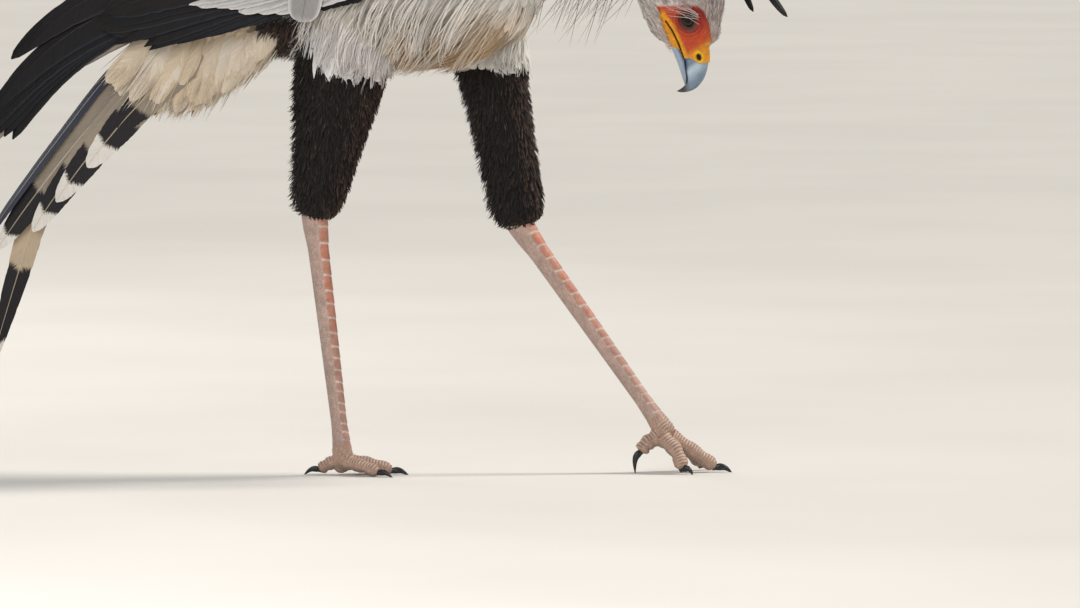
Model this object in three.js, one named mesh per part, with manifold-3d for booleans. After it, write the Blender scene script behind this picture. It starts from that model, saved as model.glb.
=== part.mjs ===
// A life-size secretary bird, stalking with its head bowed, as a still museum model.
// Millimetres, +X the way the bird faces, +Z up, its right side at -Y, the floor at Z 0.
import * as THREE from "three";
import { mergeVertices } from "three/addons/utils/BufferGeometryUtils.js";
import Module from "manifold-3d";

const wasm = await Module();
wasm.setup();

// Driving dimensions
const gap = 0.3; // left between two pieces that touch
const tarsusLength = 290;
const torsoHalfHeight = 113;
const torsoHalfWidth = 100;
const wingHalfSpread = 114; // middle of the body to the outer face of a closed wing
const neckHalfDepth = 38;
const eyeRadius = 10;
const vaneThickness = 0.8;
const shingle = 3; // how far each vane's lower edge stands out over the next

const X = new THREE.Vector3(1, 0, 0);
const Y = new THREE.Vector3(0, 1, 0);
const Z = new THREE.Vector3(0, 0, 1);
const point = (x, y, z) => new THREE.Vector3(x, y, z);
const mix = THREE.MathUtils.lerp;
const clamp = THREE.MathUtils.clamp;
const degrees = THREE.MathUtils.degToRad;

// Solids and meshes
function solidOf(geometry) {
  const bare = geometry.clone();
  bare.deleteAttribute("normal");
  bare.deleteAttribute("uv");
  const merged = mergeVertices(bare, 1e-4);
  const vertProperties = merged.attributes.position.array;
  const triVerts = new Uint32Array(merged.index.array);
  const made = new wasm.Manifold(new wasm.Mesh({ numProp: 3, vertProperties, triVerts }));
  if (made.volume() > 0) return made;
  const turned = triVerts.map((v, i) => triVerts[i - (i % 3) + ((3 - (i % 3)) % 3)]);
  return new wasm.Manifold(new wasm.Mesh({ numProp: 3, vertProperties, triVerts: turned }));
}

const largest = (solid) => solid.decompose().sort((a, b) => b.volume() - a.volume())[0];
const fuse = (...solids) => largest(wasm.Manifold.union(solids.flat(2)));
const cut = (solid, ...tools) => largest(tools.flat().reduce((left, tool) => left.subtract(tool), solid));

function meshOf(name, solid, material) {
  const made = solid.getMesh();
  const geometry = new THREE.BufferGeometry();
  geometry.setAttribute("position", new THREE.BufferAttribute(new Float32Array(made.vertProperties), 3));
  geometry.setIndex(new THREE.BufferAttribute(new Uint32Array(made.triVerts), 1));
  geometry.computeVertexNormals();
  const mesh = new THREE.Mesh(geometry, material);
  mesh.name = name;
  return mesh;
}

// A closed body through rings of points, each ring with the same count, with a fan at each end. The sides in
// turned are split along the other diagonal, so that both faces of a thin vane are split alike.
function throughRings(rings, turned = () => false) {
  const sides = rings[0].length;
  const centre = (ring) => ring.reduce((sum, p) => sum.add(p), point(0, 0, 0)).divideScalar(sides);
  const points = [...rings.flat(), centre(rings[0]), centre(rings.at(-1))];
  const index = [];
  for (let i = 0; i + 1 < rings.length; i++)
    for (let j = 0; j < sides; j++) {
      const a = i * sides + j;
      const b = i * sides + ((j + 1) % sides);
      if (turned(j)) index.push(a, b, a + sides, b, b + sides, a + sides);
      else index.push(a, b, b + sides, a, b + sides, a + sides);
    }
  const last = (rings.length - 1) * sides;
  for (let j = 0; j < sides; j++) {
    const next = (j + 1) % sides;
    index.push(points.length - 2, next, j);
    index.push(points.length - 1, last + j, last + next);
  }
  const geometry = new THREE.BufferGeometry().setFromPoints(points);
  geometry.setIndex(index);
  return solidOf(geometry);
}

// A body whose round sections stand square to a smooth line. Each station is [point, half height, half width].
function bodyAlong(stations, { rings = 12, at, sides = 16, grow = 0, relief = () => 0 } = {}) {
  const line = new THREE.CatmullRomCurve3(stations.map((s) => s[0]));
  const sizes = new THREE.CatmullRomCurve3(stations.map((s) => point(s[1], s[2], 0)));
  const shares = at ?? Array.from({ length: rings + 1 }, (_, i) => i / rings);
  return throughRings(
    shares.map((t, i) => {
      const along = line.getTangent(t);
      const size = sizes.getPoint(t);
      const side = Y.clone().addScaledVector(along, -along.dot(Y)).normalize();
      const up = side.clone().cross(along).normalize();
      const end = i === 0 ? -1 : i === shares.length - 1 ? 1 : 0;
      const centre = line.getPoint(t).addScaledVector(along, grow * end);
      return Array.from({ length: sides }, (_, j) => {
        const angle = (2 * Math.PI * j) / sides;
        const extra = grow + relief(i, angle);
        return centre
          .clone()
          .addScaledVector(up, (size.x + extra) * Math.sin(angle))
          .addScaledVector(side, (size.y + extra) * Math.cos(angle));
      });
    }),
  );
}

function ellipsoid(centre, radii, turn = 0, detail = [12, 8]) {
  const ball = new THREE.SphereGeometry(1, ...detail);
  ball.scale(...radii).rotateY(turn).translate(...centre.toArray());
  return solidOf(ball);
}

// Half width of a vane, as a share of its widest, at share s of the way from root to tip. A high bluntness gives
// a rounder tip, and a flare above 0 makes it widen towards the tip.
const outline = (s, { blunt = 5, quill = 0.3, flare = 0 }) =>
  (flare ? quill + (1 - quill) * s ** flare : Math.min(1, quill + s / 0.22)) * Math.sqrt(1 - (0.985 * s) ** blunt);

// A feather's vane. place(s, across, out) gives a point: s along the shaft, the others in millimetres.
function vane(place, form) {
  const steps = form.steps ?? [0, 0.16, 0.45, 0.75, 0.92, 1];
  const half = vaneThickness / 2;
  return throughRings(
    steps.map((s) => {
      const wide = (form.width / 2) * outline(s, form);
      const places = form.curved ? [-wide, 0, wide] : [-wide, wide];
      return [...places.map((r) => place(s, r, half)), ...places.reverse().map((r) => place(s, r, -half))];
    }),
    (side) => side >= (form.curved ? 3 : 2),
  );
}
const shortVane = [0, 0.3, 0.7, 0.92, 1];

// A vane on a free curve, with its outer face turned the way of facing
function freeVane(points, facing, form) {
  const shaft = new THREE.CatmullRomCurve3(points);
  return vane((s, across, out) => {
    const along = shaft.getTangent(s);
    const wide = facing.clone().cross(along).normalize();
    const face = along.clone().cross(wide).normalize();
    return shaft.getPoint(s).addScaledVector(wide, across).addScaledVector(face, out);
  }, form);
}

// A row of vanes that lie on a surface, each over the upper edge of the one below. Roots and tips follow two
// curves seen from the side, through points [x, z], and surface(x, z) gives how far out that place stands.
function tier(side, { count, surface, roots, tips, lift, stack = 0, bow = [0, 0], sink = 0, ...form }) {
  const rootLine = new THREE.CatmullRomCurve3(roots.map(([x, z]) => point(x, 0, z)));
  const tipLine = new THREE.CatmullRomCurve3(tips.map(([x, z]) => point(x, 0, z)));
  return Array.from({ length: count }, (_, i) => {
    const t = i / (count - 1);
    const root = rootLine.getPoint(t);
    const tip = tipLine.getPoint(t);
    const rise = Y.clone().cross(tip.clone().sub(root)).normalize();
    const bend = root.clone().lerp(tip, 0.5).addScaledVector(rise, 2 * mix(...bow, t));
    const shaft = new THREE.QuadraticBezierCurve3(root, bend, tip);
    return vane((s, across, out) => {
      const at = shaft.getPoint(s).addScaledVector(Y.clone().cross(shaft.getTangent(s)).normalize(), across);
      const lean = (-shingle * across) / (form.width / 2);
      const raised = lift + stack * i - sink * Math.max(0, 1 - s / 0.2);
      at.y = side * (surface(at.x, at.z) + raised + lean + out);
      return at;
    }, form);
  });
}

// Trunk
const torsoStations = [
  [point(158, 0, 622), 26, 24],
  [point(146, 0, 616), 60, 50],
  [point(122, 0, 608), 91, 77],
  [point(86, 0, 602), torsoHalfHeight - 3, 93],
  [point(40, 0, 594), torsoHalfHeight, torsoHalfWidth],
  [point(-12, 0, 588), torsoHalfHeight - 4, torsoHalfWidth],
  [point(-64, 0, 581), 98, 93],
  [point(-112, 0, 575), 82, 80],
  [point(-160, 0, 566), 69, 66],
];
const torsoForm = (grow) => bodyAlong(torsoStations, { rings: 13, sides: 20, grow });

// The rump and the fleshy base of the tail
const rumpStations = [
  [point(-140, 0, 571), 74, 71],
  [point(-170, 0, 562), 66, 62],
  [point(-205, 0, 545), 60, 53],
  [point(-250, 0, 518), 50, 43],
  [point(-290, 0, 492), 34, 30],
  [point(-312, 0, 474), 16, 16],
];
const rumpForm = (grow) => bodyAlong(rumpStations, { rings: 7, sides: 14, grow });

const neckStations = [
  [point(112, 0, 640), 64, 52],
  [point(165, 0, 665), 48, 42],
  [point(218, 0, 677), neckHalfDepth, 35],
  [point(266, 0, 662), neckHalfDepth - 2, 33],
  [point(300, 0, 628), neckHalfDepth + 1, 33],
  [point(318, 0, 596), 42, 34],
  [point(326, 0, 574), 40, 31],
];

// Head, in its own frame: u from the eye towards the bill, v towards the crown
const eyeAt = point(340, 0, 535);
const headBow = degrees(72);
const towardsBill = point(Math.cos(headBow), 0, -Math.sin(headBow));
const towardsCrown = point(Math.sin(headBow), 0, Math.cos(headBow));
const onHead = (u, v, y = 0) =>
  eyeAt.clone().addScaledVector(towardsBill, u).addScaledVector(towardsCrown, v).addScaledVector(Y, y);

const headStations = [
  [onHead(-64, -10), 35, 29],
  [onHead(-46, -4), 45, 34],
  [onHead(-22, 0), 48.5, 31],
  [onHead(0, -2), 44, 25],
  [onHead(16, -3), 37, 21],
  [onHead(30, -6), 27, 17],
  [onHead(41, -6), 20, 14],
  [onHead(50, -6), 16, 12],
];
const mouthLine = [
  [-9, -25],
  [4, -21.5],
  [21, -19.2],
  [38, -18.7],
  [54, -21.2],
  [60, -22.6],
];

const skullForm = (grow) => bodyAlong(headStations, { rings: 10, sides: 14, grow });

function headSolids() {
  const skull = skullForm(0);
  const brow = (s) => ellipsoid(onHead(3, 16, s * 20), [19, 6, 6], headBow, [9, 5]);
  const socketY = 15.5;
  const lids = (s) => {
    const rim = new THREE.TorusGeometry(eyeRadius * 0.86, 2.4, 4, 11);
    rim.rotateX(Math.PI / 2).translate(...onHead(0, 0, s * (socketY + 7.5)).toArray());
    return solidOf(rim);
  };
  const eye = (s, grow) =>
    ellipsoid(onHead(0, 0, s * socketY), Array(3).fill(eyeRadius + grow), 0, [12, 7]);
  const nostril = (s) => ellipsoid(onHead(44, -1.5, s * 13), [4.2, 3, 2.4], headBow, [8, 5]);
  const slit = mouthSlit(0.5);
  const head = cut(
    fuse(skull, brow(1), brow(-1), lids(1), lids(-1)),
    eye(1, gap),
    eye(-1, gap),
    nostril(1),
    nostril(-1),
    slit,
    billForm(gap),
    jawForm(gap),
  );
  return { head, eyes: [eye(1, 0), eye(-1, 0)] };
}

// The gap between the closed jaws: a strip of this half thickness, from the corner of the mouth forwards.
function mouthSlit(half) {
  const shape = new THREE.Shape();
  mouthLine.forEach(([u, v], i) => (i ? shape.lineTo(u, v + half) : shape.moveTo(u, v + half)));
  [...mouthLine].reverse().forEach(([u, v]) => shape.lineTo(u, v - half));
  const strip = new THREE.ExtrudeGeometry(shape, { depth: 120, bevelEnabled: false });
  strip.translate(0, 0, -60);
  const turn = new THREE.Matrix4().makeBasis(towardsBill, towardsCrown, Y).setPosition(eyeAt);
  return solidOf(strip.applyMatrix4(turn));
}

// The hooked upper bill, from the cere to its tip: [u, v of the ridge, v of the cutting edge, half width].
function billForm(grow = 0) {
  const sections = [
    [[46, 10.5], [38, -17.2], 12],
    [[54.5, 7.1], [45, -18], 11.4],
    [[64, 1.6], [55, -20.6], 9.6],
    [[72, -5.5], [63, -22.2], 7.8],
    [[78, -16], [68.5, -24.5], 5.8],
    [[79, -25.5], [71.5, -29.5], 3.8],
    [[77.5, -33.5], [73, -34], 2],
    [[74.5, -38], [73, -37], 0.6],
  ];
  return throughRings(
    sections.map(([[ru, rv], [eu, ev], half]) =>
      Array.from({ length: 12 }, (_, j) => {
        const angle = (2 * Math.PI * j) / 12;
        const rise = (1 + Math.sin(angle)) / 2;
        const taper = Math.cos(angle) * (1 - 0.35 * Math.max(0, Math.sin(angle)));
        const out = Math.hypot(ru - eu, rv - ev) || 1;
        const extra = grow * Math.sin(angle);
        return onHead(
          mix(eu, ru, rise) + (extra * (ru - eu)) / out,
          mix(ev, rv, rise) + (extra * (rv - ev)) / out,
          taper * (half + grow),
        );
      }),
    ),
  );
}

// The lower bill, below the mouth line.
function jawForm(grow = 0) {
  const sections = [
    [30, -19.6, -28.5, 11],
    [42, -19.8, -27.6, 10],
    [52, -21.8, -27.4, 8.4],
    [61, -23.6, -27.4, 6.2],
    [68, -25.6, -27.2, 3.4],
    [70, -26.2, -27, 1],
  ];
  return throughRings(
    sections.map(([u, top, bottom, half]) =>
      Array.from({ length: 10 }, (_, j) => {
        const angle = (2 * Math.PI * j) / 10;
        const middle = (top + bottom) / 2;
        const high = (top - bottom) / 2 + grow;
        return onHead(u, middle + high * Math.sin(angle), (half + grow) * Math.cos(angle));
      }),
    ),
  );
}

// Closed wings. Both lie on one smooth flank, upright below and curving in over the back: how far out it stands
// at a place seen from the side. The long quills lie flat, on a plank as wide as the flank at its widest.
function plank(x) {
  const ahead = clamp((x - 10) / 200, 0, 0.97);
  const behind = clamp((10 - x) / 600, 0, 0.97);
  return wingHalfSpread * Math.sqrt(1 - ahead ** 2) * (1 - behind ** 1.3);
}

function flank(x, z) {
  const spread = plank(x);
  const above = z - (590 + 0.19 * x);
  const rise = above / mix(110, 60, clamp(-x / 300, 0, 1));
  return spread * Math.sqrt(1 - clamp((rise - 0.05) / 0.95, 0, 0.96) ** 2);
}

// The arm and its small coverts: [x, top z, bottom z, thickness]
const armStations = [
  [160, 648, 628, 14],
  [138, 670, 614, 32],
  [104, 684, 600, 42],
  [50, 690, 588, 46],
  [-10, 682, 580, 48],
  [-70, 662, 568, 44],
  [-130, 638, 556, 36],
  [-185, 610, 550, 24],
  [-232, 586, 556, 10],
];

function armForm(side) {
  const edges = new THREE.CatmullRomCurve3(armStations.map(([x, top, bottom]) => point(x, top, bottom)));
  const depths = new THREE.CatmullRomCurve3(armStations.map((station) => point(station[3], 0, 0)));
  return throughRings(
    Array.from({ length: 11 }, (_, i) => {
      const { x, y: top, z: bottom } = edges.getPoint(i / 10);
      const deep = depths.getPoint(i / 10).x;
      return Array.from({ length: 10 }, (_, j) => {
        const angle = (2 * Math.PI * j) / 10;
        const z = (top + bottom) / 2 + ((top - bottom) / 2) * Math.sin(angle);
        const out = Math.cos(angle);
        return point(x, side * (flank(x, z) - 4 + (out > 0 ? 4 : deep) * out), z);
      });
    }),
  );
}

// The tiers of one wing, from the back down and from the outside in
const wingTiers = {
  scapulars: {
    surface: flank, count: 4, width: 46, lift: 12, sink: 17, stack: -2, blunt: 7, bow: [4, 6], steps: shortVane,
    roots: [[112, 668], [20, 670], [-72, 644]],
    tips: [[20, 660], [-90, 628], [-205, 588]],
  },
  medianCoverts: {
    surface: flank, count: 6, width: 38, lift: 5, sink: 9, blunt: 7, steps: [0, 0.4, 0.85, 1],
    roots: [[124, 640], [20, 622], [-116, 600]],
    tips: [[76, 612], [-44, 584], [-190, 562]],
  },
  greaterCoverts: {
    surface: flank, count: 6, width: 52, lift: 0.5, sink: 4.5, blunt: 7, bow: [2, 6], steps: shortVane,
    roots: [[100, 622], [20, 600], [-80, 586], [-160, 582]],
    tips: [[44, 600], [-40, 570], [-122, 539], [-190, 542], [-250, 554]],
  },
  tertials: {
    surface: plank, count: 3, width: 46, lift: -7, stack: 1.6, blunt: 6, bow: [6, 8], steps: shortVane,
    roots: [[-112, 576], [-128, 588], [-124, 600]],
    tips: [[-330, 522], [-352, 530], [-344, 548]],
  },
  secondaries: {
    surface: plank, count: 6, width: 42, lift: -11, stack: 1.2, blunt: 5, bow: [6, 10], steps: shortVane,
    roots: [[-40, 584], [-100, 580], [-150, 572]],
    tips: [[-176, 541], [-236, 517], [-290, 509], [-332, 512]],
  },
  primaries: {
    surface: plank, count: 6, width: 41, lift: -17, stack: -1.3, blunt: 3.2, bow: [14, 38],
    roots: [[-190, 576], [-170, 562]],
    tips: [[-457, 492], [-482, 458], [-484, 420], [-454, 398]],
  },
};

const wingForm = (side) =>
  fuse(armForm(side), Object.values(wingTiers).map((form) => tier(side, form)));

// Tail. Half closed, it is a tent whose sides fall away from a sloping ridge.
const ridgeTop = point(-300, 0, 560);
const downTent = point(0.837, 0, -0.548);
const tent = (x, z) => 5 + 0.42 * Math.max(0, point(x, 0, z).sub(ridgeTop).dot(downTent));

// From the outermost feather to the one beside the middle pair, shortest to longest
const outerTail = {
  surface: tent, count: 5, width: 38, lift: -2, stack: 1.2, blunt: 6, bow: [3, 24],
  roots: [[-232, 500], [-236, 516], [-238, 544]],
  tips: [[-314, 410], [-352, 364], [-392, 323], [-428, 290], [-478, 274]],
};

const middleTail = (side) =>
  freeVane(
    [[-240, 505], [-318, 434], [-383, 378], [-424, 318], [-452, 232], [-484, 126]].map(([x, z]) =>
      point(x, side * 4.5, z),
    ),
    point(0, side, 0),
    { width: 36, blunt: 4, quill: 0.4, steps: [0, 0.2, 0.4, 0.6, 0.75, 0.88, 0.97, 1] },
  );

// Rows of coverts under and over the tail: x and z of root and tip, half spread, count, and the way they face
const tailCoverts = [
  { root: [-168, 534], tip: [-206, 447], spread: 30, count: 3, up: -1 },
  { root: [-206, 520], tip: [-264, 422], spread: 24, count: 3, up: -1 },
  { root: [-246, 500], tip: [-322, 436], spread: 13, count: 2, up: -1 },
  { root: [-216, 556], tip: [-322, 527], spread: 14, count: 2, up: 1 },
];

function tailForm() {
  const coverts = tailCoverts.flatMap(({ root, tip, spread, count, up }) =>
    Array.from({ length: count }, (_, i) => {
      const share = (2 * i) / (count - 1) - 1;
      const drop = -up * 14 * share ** 2;
      const y = spread * share;
      const start = point(root[0], y * 0.6, root[1] + drop);
      const end = point(tip[0], y, tip[1] + drop);
      const belly = start.clone().lerp(end, 0.5).add(point(-6, y * 0.15, up * 7));
      return freeVane([start, belly, end], point(-0.3, 0.7 * share, up), { width: 42, blunt: 6, steps: shortVane });
    }),
  );
  return fuse(rumpForm(0), coverts, [1, -1].flatMap((side) => [...tier(side, outerTail), middleTail(side)]));
}

// Legs: knee, heel and foot joint, and the feathered tibia's [share of the way down, half depth, half width]
const rightLeg = {
  side: "right",
  knee: point(-46, -46, 600),
  heel: point(-100, -31, 304),
  joint: point(-67, -14, 19.2),
  tibia: [
    [0, 42, 34],
    [0.2, 56, 40],
    [0.37, 55, 38],
    [0.5, 51, 35],
    [0.66, 43, 31],
    [0.8, 36, 27],
    [0.9, 32, 24],
    [0.97, 25, 20],
    [1.0, 14, 12],
  ],
};
const leftLeg = {
  side: "left",
  knee: point(88, 46, 592),
  heel: point(143, 30, 290),
  joint: point(311, 18, 51.4),
  tibia: [
    [0, 36, 30],
    [0.2, 44, 36],
    [0.37, 42, 33],
    [0.5, 38, 30],
    [0.66, 35, 28],
    [0.8, 33, 26],
    [0.9, 32, 24],
    [0.97, 26, 20],
    [1.0, 14, 12],
  ],
};

const tibiaForm = (leg, grow = 0) =>
  bodyAlong(
    leg.tibia.map(([share, depth, width]) => [leg.knee.clone().lerp(leg.heel, share), depth, width]),
    { rings: 11, sides: 14, grow },
  );

// The bare lower leg: [share of the way down, half depth, half width]
const tarsusSections = [
  [-0.06, 9, 8],
  [-0.02, 15, 12],
  [0.04, 14.5, 11],
  [0.12, 12, 9],
  [0.3, 11.2, 8.4],
  [0.6, 10, 7.8],
  [0.85, 9, 7.6],
  [0.95, 10.5, 9.6],
  [1.02, 11, 11],
];
const tarsusScutes = 10;
const scuteHeight = 0.9;

// Scutes are raised bands on the front, each flush at its top and proud at its lower edge.
function tarsusForm(leg) {
  const down = leg.joint.clone().sub(leg.heel);
  const along = down.clone().normalize();
  const back = Y.clone().cross(along).normalize();
  const side = along.clone().cross(back).normalize();
  const borders = Array.from({ length: tarsusScutes + 1 }, (_, i) => mix(0.1, 0.9, i / tarsusScutes));
  const shares = [
    ...[-0.06, -0.02, 0.04].map((share) => [share, 0]),
    ...borders.flatMap((share, i) => (i ? [[share - 0.004, scuteHeight], [share, 0]] : [[share, 0]])),
    ...[0.95, 1.02].map((share) => [share, 0]),
  ];
  return throughRings(
    shares.map(([share, raised]) => {
      const [depth, width] = profile(tarsusSections, share);
      return Array.from({ length: 8 }, (_, j) => {
        const angle = (2 * Math.PI * j) / 8;
        const extra = raised * Math.max(0, -Math.sin(angle)) ** 0.6;
        return leg.heel
          .clone()
          .addScaledVector(down, share)
          .addScaledVector(back, (depth + extra) * Math.sin(angle))
          .addScaledVector(side, (width + extra) * Math.cos(angle));
      });
    }),
  );
}

// Straight-line reading of a table whose rows start with their place
function profile(rows, at) {
  const next = clamp(rows.findIndex((row) => row[0] >= at), 1, rows.length - 1);
  const [low, high] = [rows[next - 1], rows[next]];
  const t = clamp((at - low[0]) / (high[0] - low[0]), 0, 1);
  return low.slice(1).map((value, i) => mix(value, high[i + 1], t));
}

// Toes: points from the knuckle to the tip and the claw's tip, measured from the foot joint
const flatFoot = {
  inner: { path: [[4, 3, -4], [24, 15, -8], [42, 24, -14]], claw: [[8, 5, 3], [19, 11, -7]], thick: 8 },
  middle: { path: [[6, 0, -3], [32, 1, -7], [58, 1, -14]], claw: [[9, 0, 3], [20, 0, -7]], thick: 8.4 },
  outer: { path: [[4, -4, -4], [24, -16, -8], [42, -26, -14]], claw: [[8, -5, 3], [18, -10, -7]], thick: 7.6 },
  hind: { path: [[-6, 1, -2], [-18, 3, -7], [-28, 5, -13]], claw: [[-9, 1, 4], [-19, 3, -8]], thick: 7.6 },
};
const grippingFoot = {
  inner: { path: [[0, -7, -11], [15, -16, -25], [23, -23, -45]], claw: [[7, -4, 4], [12, -7, -8]], thick: 8.6 },
  middle: { path: [[9, 0, -9], [40, 2, -30], [62, 3, -45]], claw: [[10, 1, 3], [20, 1, -8]], thick: 9 },
  outer: { path: [[6, 7, -10], [30, 21, -26], [46, 30, -45]], claw: [[9, 5, 4], [17, 9, -8]], thick: 8.2 },
  hind: { path: [[-8, -2, -10], [-20, -5, -17], [-27, -7, -26]], claw: [[-9, -2, -3], [-6, -2, -27]], thick: 9 },
};

const from = (origin, [x, y, z]) => origin.clone().add(point(x, y, z));
const toeBorders = [0, 0.36, 0.4, 0.68, 0.72, 0.93, 1];
const toeForm = (leg, { path, thick }, grow = 0) =>
  bodyAlong(
    [
      [from(leg.joint, path[0]), thick + 1.5, thick + 1.5],
      [from(leg.joint, path[1]), thick, thick - 0.4],
      [from(leg.joint, path[2]), thick - 0.8, thick - 1.4],
    ],
    {
      at: toeBorders,
      sides: 8,
      grow,
      relief: (ring, angle) =>
        ring === 1 || ring === 3 ? scuteHeight * Math.max(0, -Math.sin(angle)) : ring === 6 ? -2.2 : 0,
    },
  );

function clawForm(leg, toe) {
  const root = from(leg.joint, toe.path[2]);
  const [bend, tip] = toe.claw.map((at) => from(root, at));
  const width = toe.thick * 0.5;
  return bodyAlong(
    [
      [root, width * 1.2, width],
      [bend, width * 1.1, width * 0.9],
      [bend.clone().lerp(tip, 0.6), width * 0.7, width * 0.55],
      [tip, 0.8, 0.7],
    ],
    { rings: 4, sides: 7 },
  );
}

function aboveFloor(solid) {
  return largest(solid.trimByPlane([0, 0, 1], 0));
}

function legNodes(leg, toes, trunk) {
  const skinned = cut(tibiaForm(leg), trunk);
  const tarsus = cut(tarsusForm(leg), tibiaForm(leg, gap));
  const pad = (grow) => ellipsoid(leg.joint, [13 + grow, 13 + grow, 12 + grow], 0, [10, 6]);
  const foot = aboveFloor(fuse(pad(0), Object.values(toes).map((toe) => toeForm(leg, toe))));
  const footCut = fuse(pad(gap), Object.values(toes).map((toe) => toeForm(leg, toe, gap)));
  const nodes = [
    [`tibia_${leg.side}`, skinned, thighBlack],
    [`tarsus_${leg.side}`, cut(tarsus, footCut), legSkin],
    [`foot_${leg.side}`, foot, legSkin],
  ];
  for (const [name, toe] of Object.entries(toes))
    nodes.push([`claw_${name}_${leg.side}`, aboveFloor(cut(clawForm(leg, toe), footCut)), clawHorn]);
  return nodes;
}

// Crest: blunt plumes that fan out from the nape, in pairs, those that point forwards drooping
const nape = [point(296, 0, 646), point(318, 0, 634), point(336, 0, 612)];
const crestPairs = 7;

function crestForm() {
  const line = new THREE.CatmullRomCurve3(nape);
  return Array.from({ length: 2 * crestPairs }, (_, i) => {
    const side = i % 2 ? 1 : -1;
    const fan = (i >> 1) / (crestPairs - 1);
    const sway = Math.sin(2.4 * i); // uneven, as plumes are
    const turn = degrees(mix(106, -40, Math.min(1, 1.14 * fan)) + 5 * side + 4 * sway);
    const length = 100 + 48 * Math.sin(Math.PI * fan ** 1.4) + 12 * sway;
    const root = line.getPoint(fan).add(point(0, side * (10 + 6 * sway), 0));
    const tip = root.clone().add(point(length * Math.cos(turn), root.y * 1.1, length * Math.sin(turn)));
    const bend = root.clone().lerp(tip, 0.5).add(point(4 + 8 * fan, 0, 10 + 10 * fan));
    const facing = point(-Math.sin(turn), side * 1.1, Math.cos(turn));
    return freeVane([root, bend, tip], facing, { width: 25, blunt: 9, quill: 0.36, flare: 1.1, steps: shortVane });
  });
}

// Materials
const finish = (color, roughness) => new THREE.MeshStandardMaterial({ color, roughness, metalness: 0 });
const bodyWhite = finish(0xcfc5b6, 0.9);
const wingGrey = finish(0xa9a6a2, 0.85);
const thighBlack = finish(0x1d1715, 0.9);
const faceSkin = finish(0xd6631e, 0.55);
const billHorn = finish(0x8d9daa, 0.35);
const eyeBrown = finish(0x2a1a12, 0.1);
const legSkin = finish(0xc9a79a, 0.7);
const clawHorn = finish(0x24262a, 0.35);
const tailGrey = finish(0x9c9488, 0.8);

// Assembly
const trunk = torsoForm(0);
const trunkCut = torsoForm(gap);
const rumpCut = rumpForm(gap);
const neckForm = (grow) => bodyAlong(neckStations, { rings: 13, sides: 16, grow });
const neckCut = neckForm(gap);
const skullCut = skullForm(gap);
const neckBreak = 218; // x of the arch's top, where the neck is parted
const lowerNeck = largest(cut(neckForm(0), trunkCut).trimByPlane([-1, 0, 0], gap / 2 - neckBreak));
const upperNeck = cut(
  fuse(largest(neckForm(0).trimByPlane([1, 0, 0], neckBreak + gap / 2)), crestForm()),
  skullCut,
);
const { head, eyes } = headSolids();
const tail = cut(tailForm(), trunkCut);
const wing = (side) => cut(wingForm(side), trunkCut, rumpCut, neckCut);

const nodes = [
  ["torso", trunk, bodyWhite],
  ["neck_lower", lowerNeck, wingGrey],
  ["neck_upper", upperNeck, wingGrey],
  ["head", head, faceSkin],
  ["bill_upper", cut(billForm(), mouthSlit(0.5)), billHorn],
  ["bill_lower", cut(jawForm(), mouthSlit(0.5), billForm(gap)), billHorn],
  ["eye_left", eyes[0], eyeBrown],
  ["eye_right", eyes[1], eyeBrown],
  ["tail", tail, tailGrey],
  ["wing_left", wing(1), wingGrey],
  ["wing_right", wing(-1), wingGrey],
  ...legNodes(rightLeg, flatFoot, trunkCut),
  ...legNodes(leftLeg, grippingFoot, trunkCut),
];

const bird = new THREE.Group();
for (const [name, solid, material] of nodes) bird.add(meshOf(name, solid, material));

// The origin is on the floor, under the middle of the whole bird.
const reach = new THREE.Box3().setFromObject(bird);
const middle = reach.getCenter(point(0, 0, 0));
bird.position.set(-middle.x, -middle.y, -reach.min.z);

export default bird;
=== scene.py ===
import math

import bpy
import numpy as np
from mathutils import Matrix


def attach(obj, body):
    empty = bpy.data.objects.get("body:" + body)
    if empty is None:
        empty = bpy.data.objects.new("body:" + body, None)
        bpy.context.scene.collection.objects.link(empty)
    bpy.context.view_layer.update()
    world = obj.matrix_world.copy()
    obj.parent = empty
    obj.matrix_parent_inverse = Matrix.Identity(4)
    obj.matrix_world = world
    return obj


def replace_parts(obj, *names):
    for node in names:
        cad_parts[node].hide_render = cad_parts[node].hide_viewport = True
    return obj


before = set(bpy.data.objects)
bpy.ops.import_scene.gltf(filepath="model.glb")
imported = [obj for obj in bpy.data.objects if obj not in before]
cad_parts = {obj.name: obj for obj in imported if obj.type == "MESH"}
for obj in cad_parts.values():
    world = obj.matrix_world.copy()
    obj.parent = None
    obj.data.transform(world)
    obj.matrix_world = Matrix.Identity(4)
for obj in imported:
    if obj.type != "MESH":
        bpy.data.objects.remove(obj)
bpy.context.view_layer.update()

scene = bpy.context.scene
rng = np.random.default_rng(411)  # every random draw comes from here, in this order

# Shapes are worked out in millimetres, in the bird's own frame, and moved to the CAD's origin as they are put in.
origin = np.array([6.077, 0.0, 0.0])
yAxis = np.array([0.0, 1.0, 0.0])
zAxis = np.array([0.0, 0.0, 1.0])


def unit(v):  # each row over its own length
    return v / np.maximum(np.linalg.norm(v, axis=-1, keepdims=True), 1e-9)


def dot(a, b):  # the sum of a row's products
    return np.sum(a * b, axis=-1)


def mix(a, b, t):  # a where t is 0, b where it is 1
    return a + (b - a) * t


def hump(x, middle, width):  # a bell: 1 at the middle, falling off over the width
    return np.exp(-((x - middle) / width) ** 2)


def washed(tint, *coats):  # a base colour with further ones over it, each by its own share
    for colour, share in coats:
        tint = mix(tint, colour, share[..., None])
    return tint


def ringAngles(count):  # even steps round a full turn
    return np.arange(count) / count * 2 * math.pi


def kept(keep, *lists):  # the chosen rows of every list
    return [rows[keep] for rows in lists]


def smooth(low, high, x):  # 0 below low, 1 above high, an S curve between
    t = np.clip((x - low) / (high - low), 0, 1)
    return t * t * (3 - 2 * t)


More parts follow.
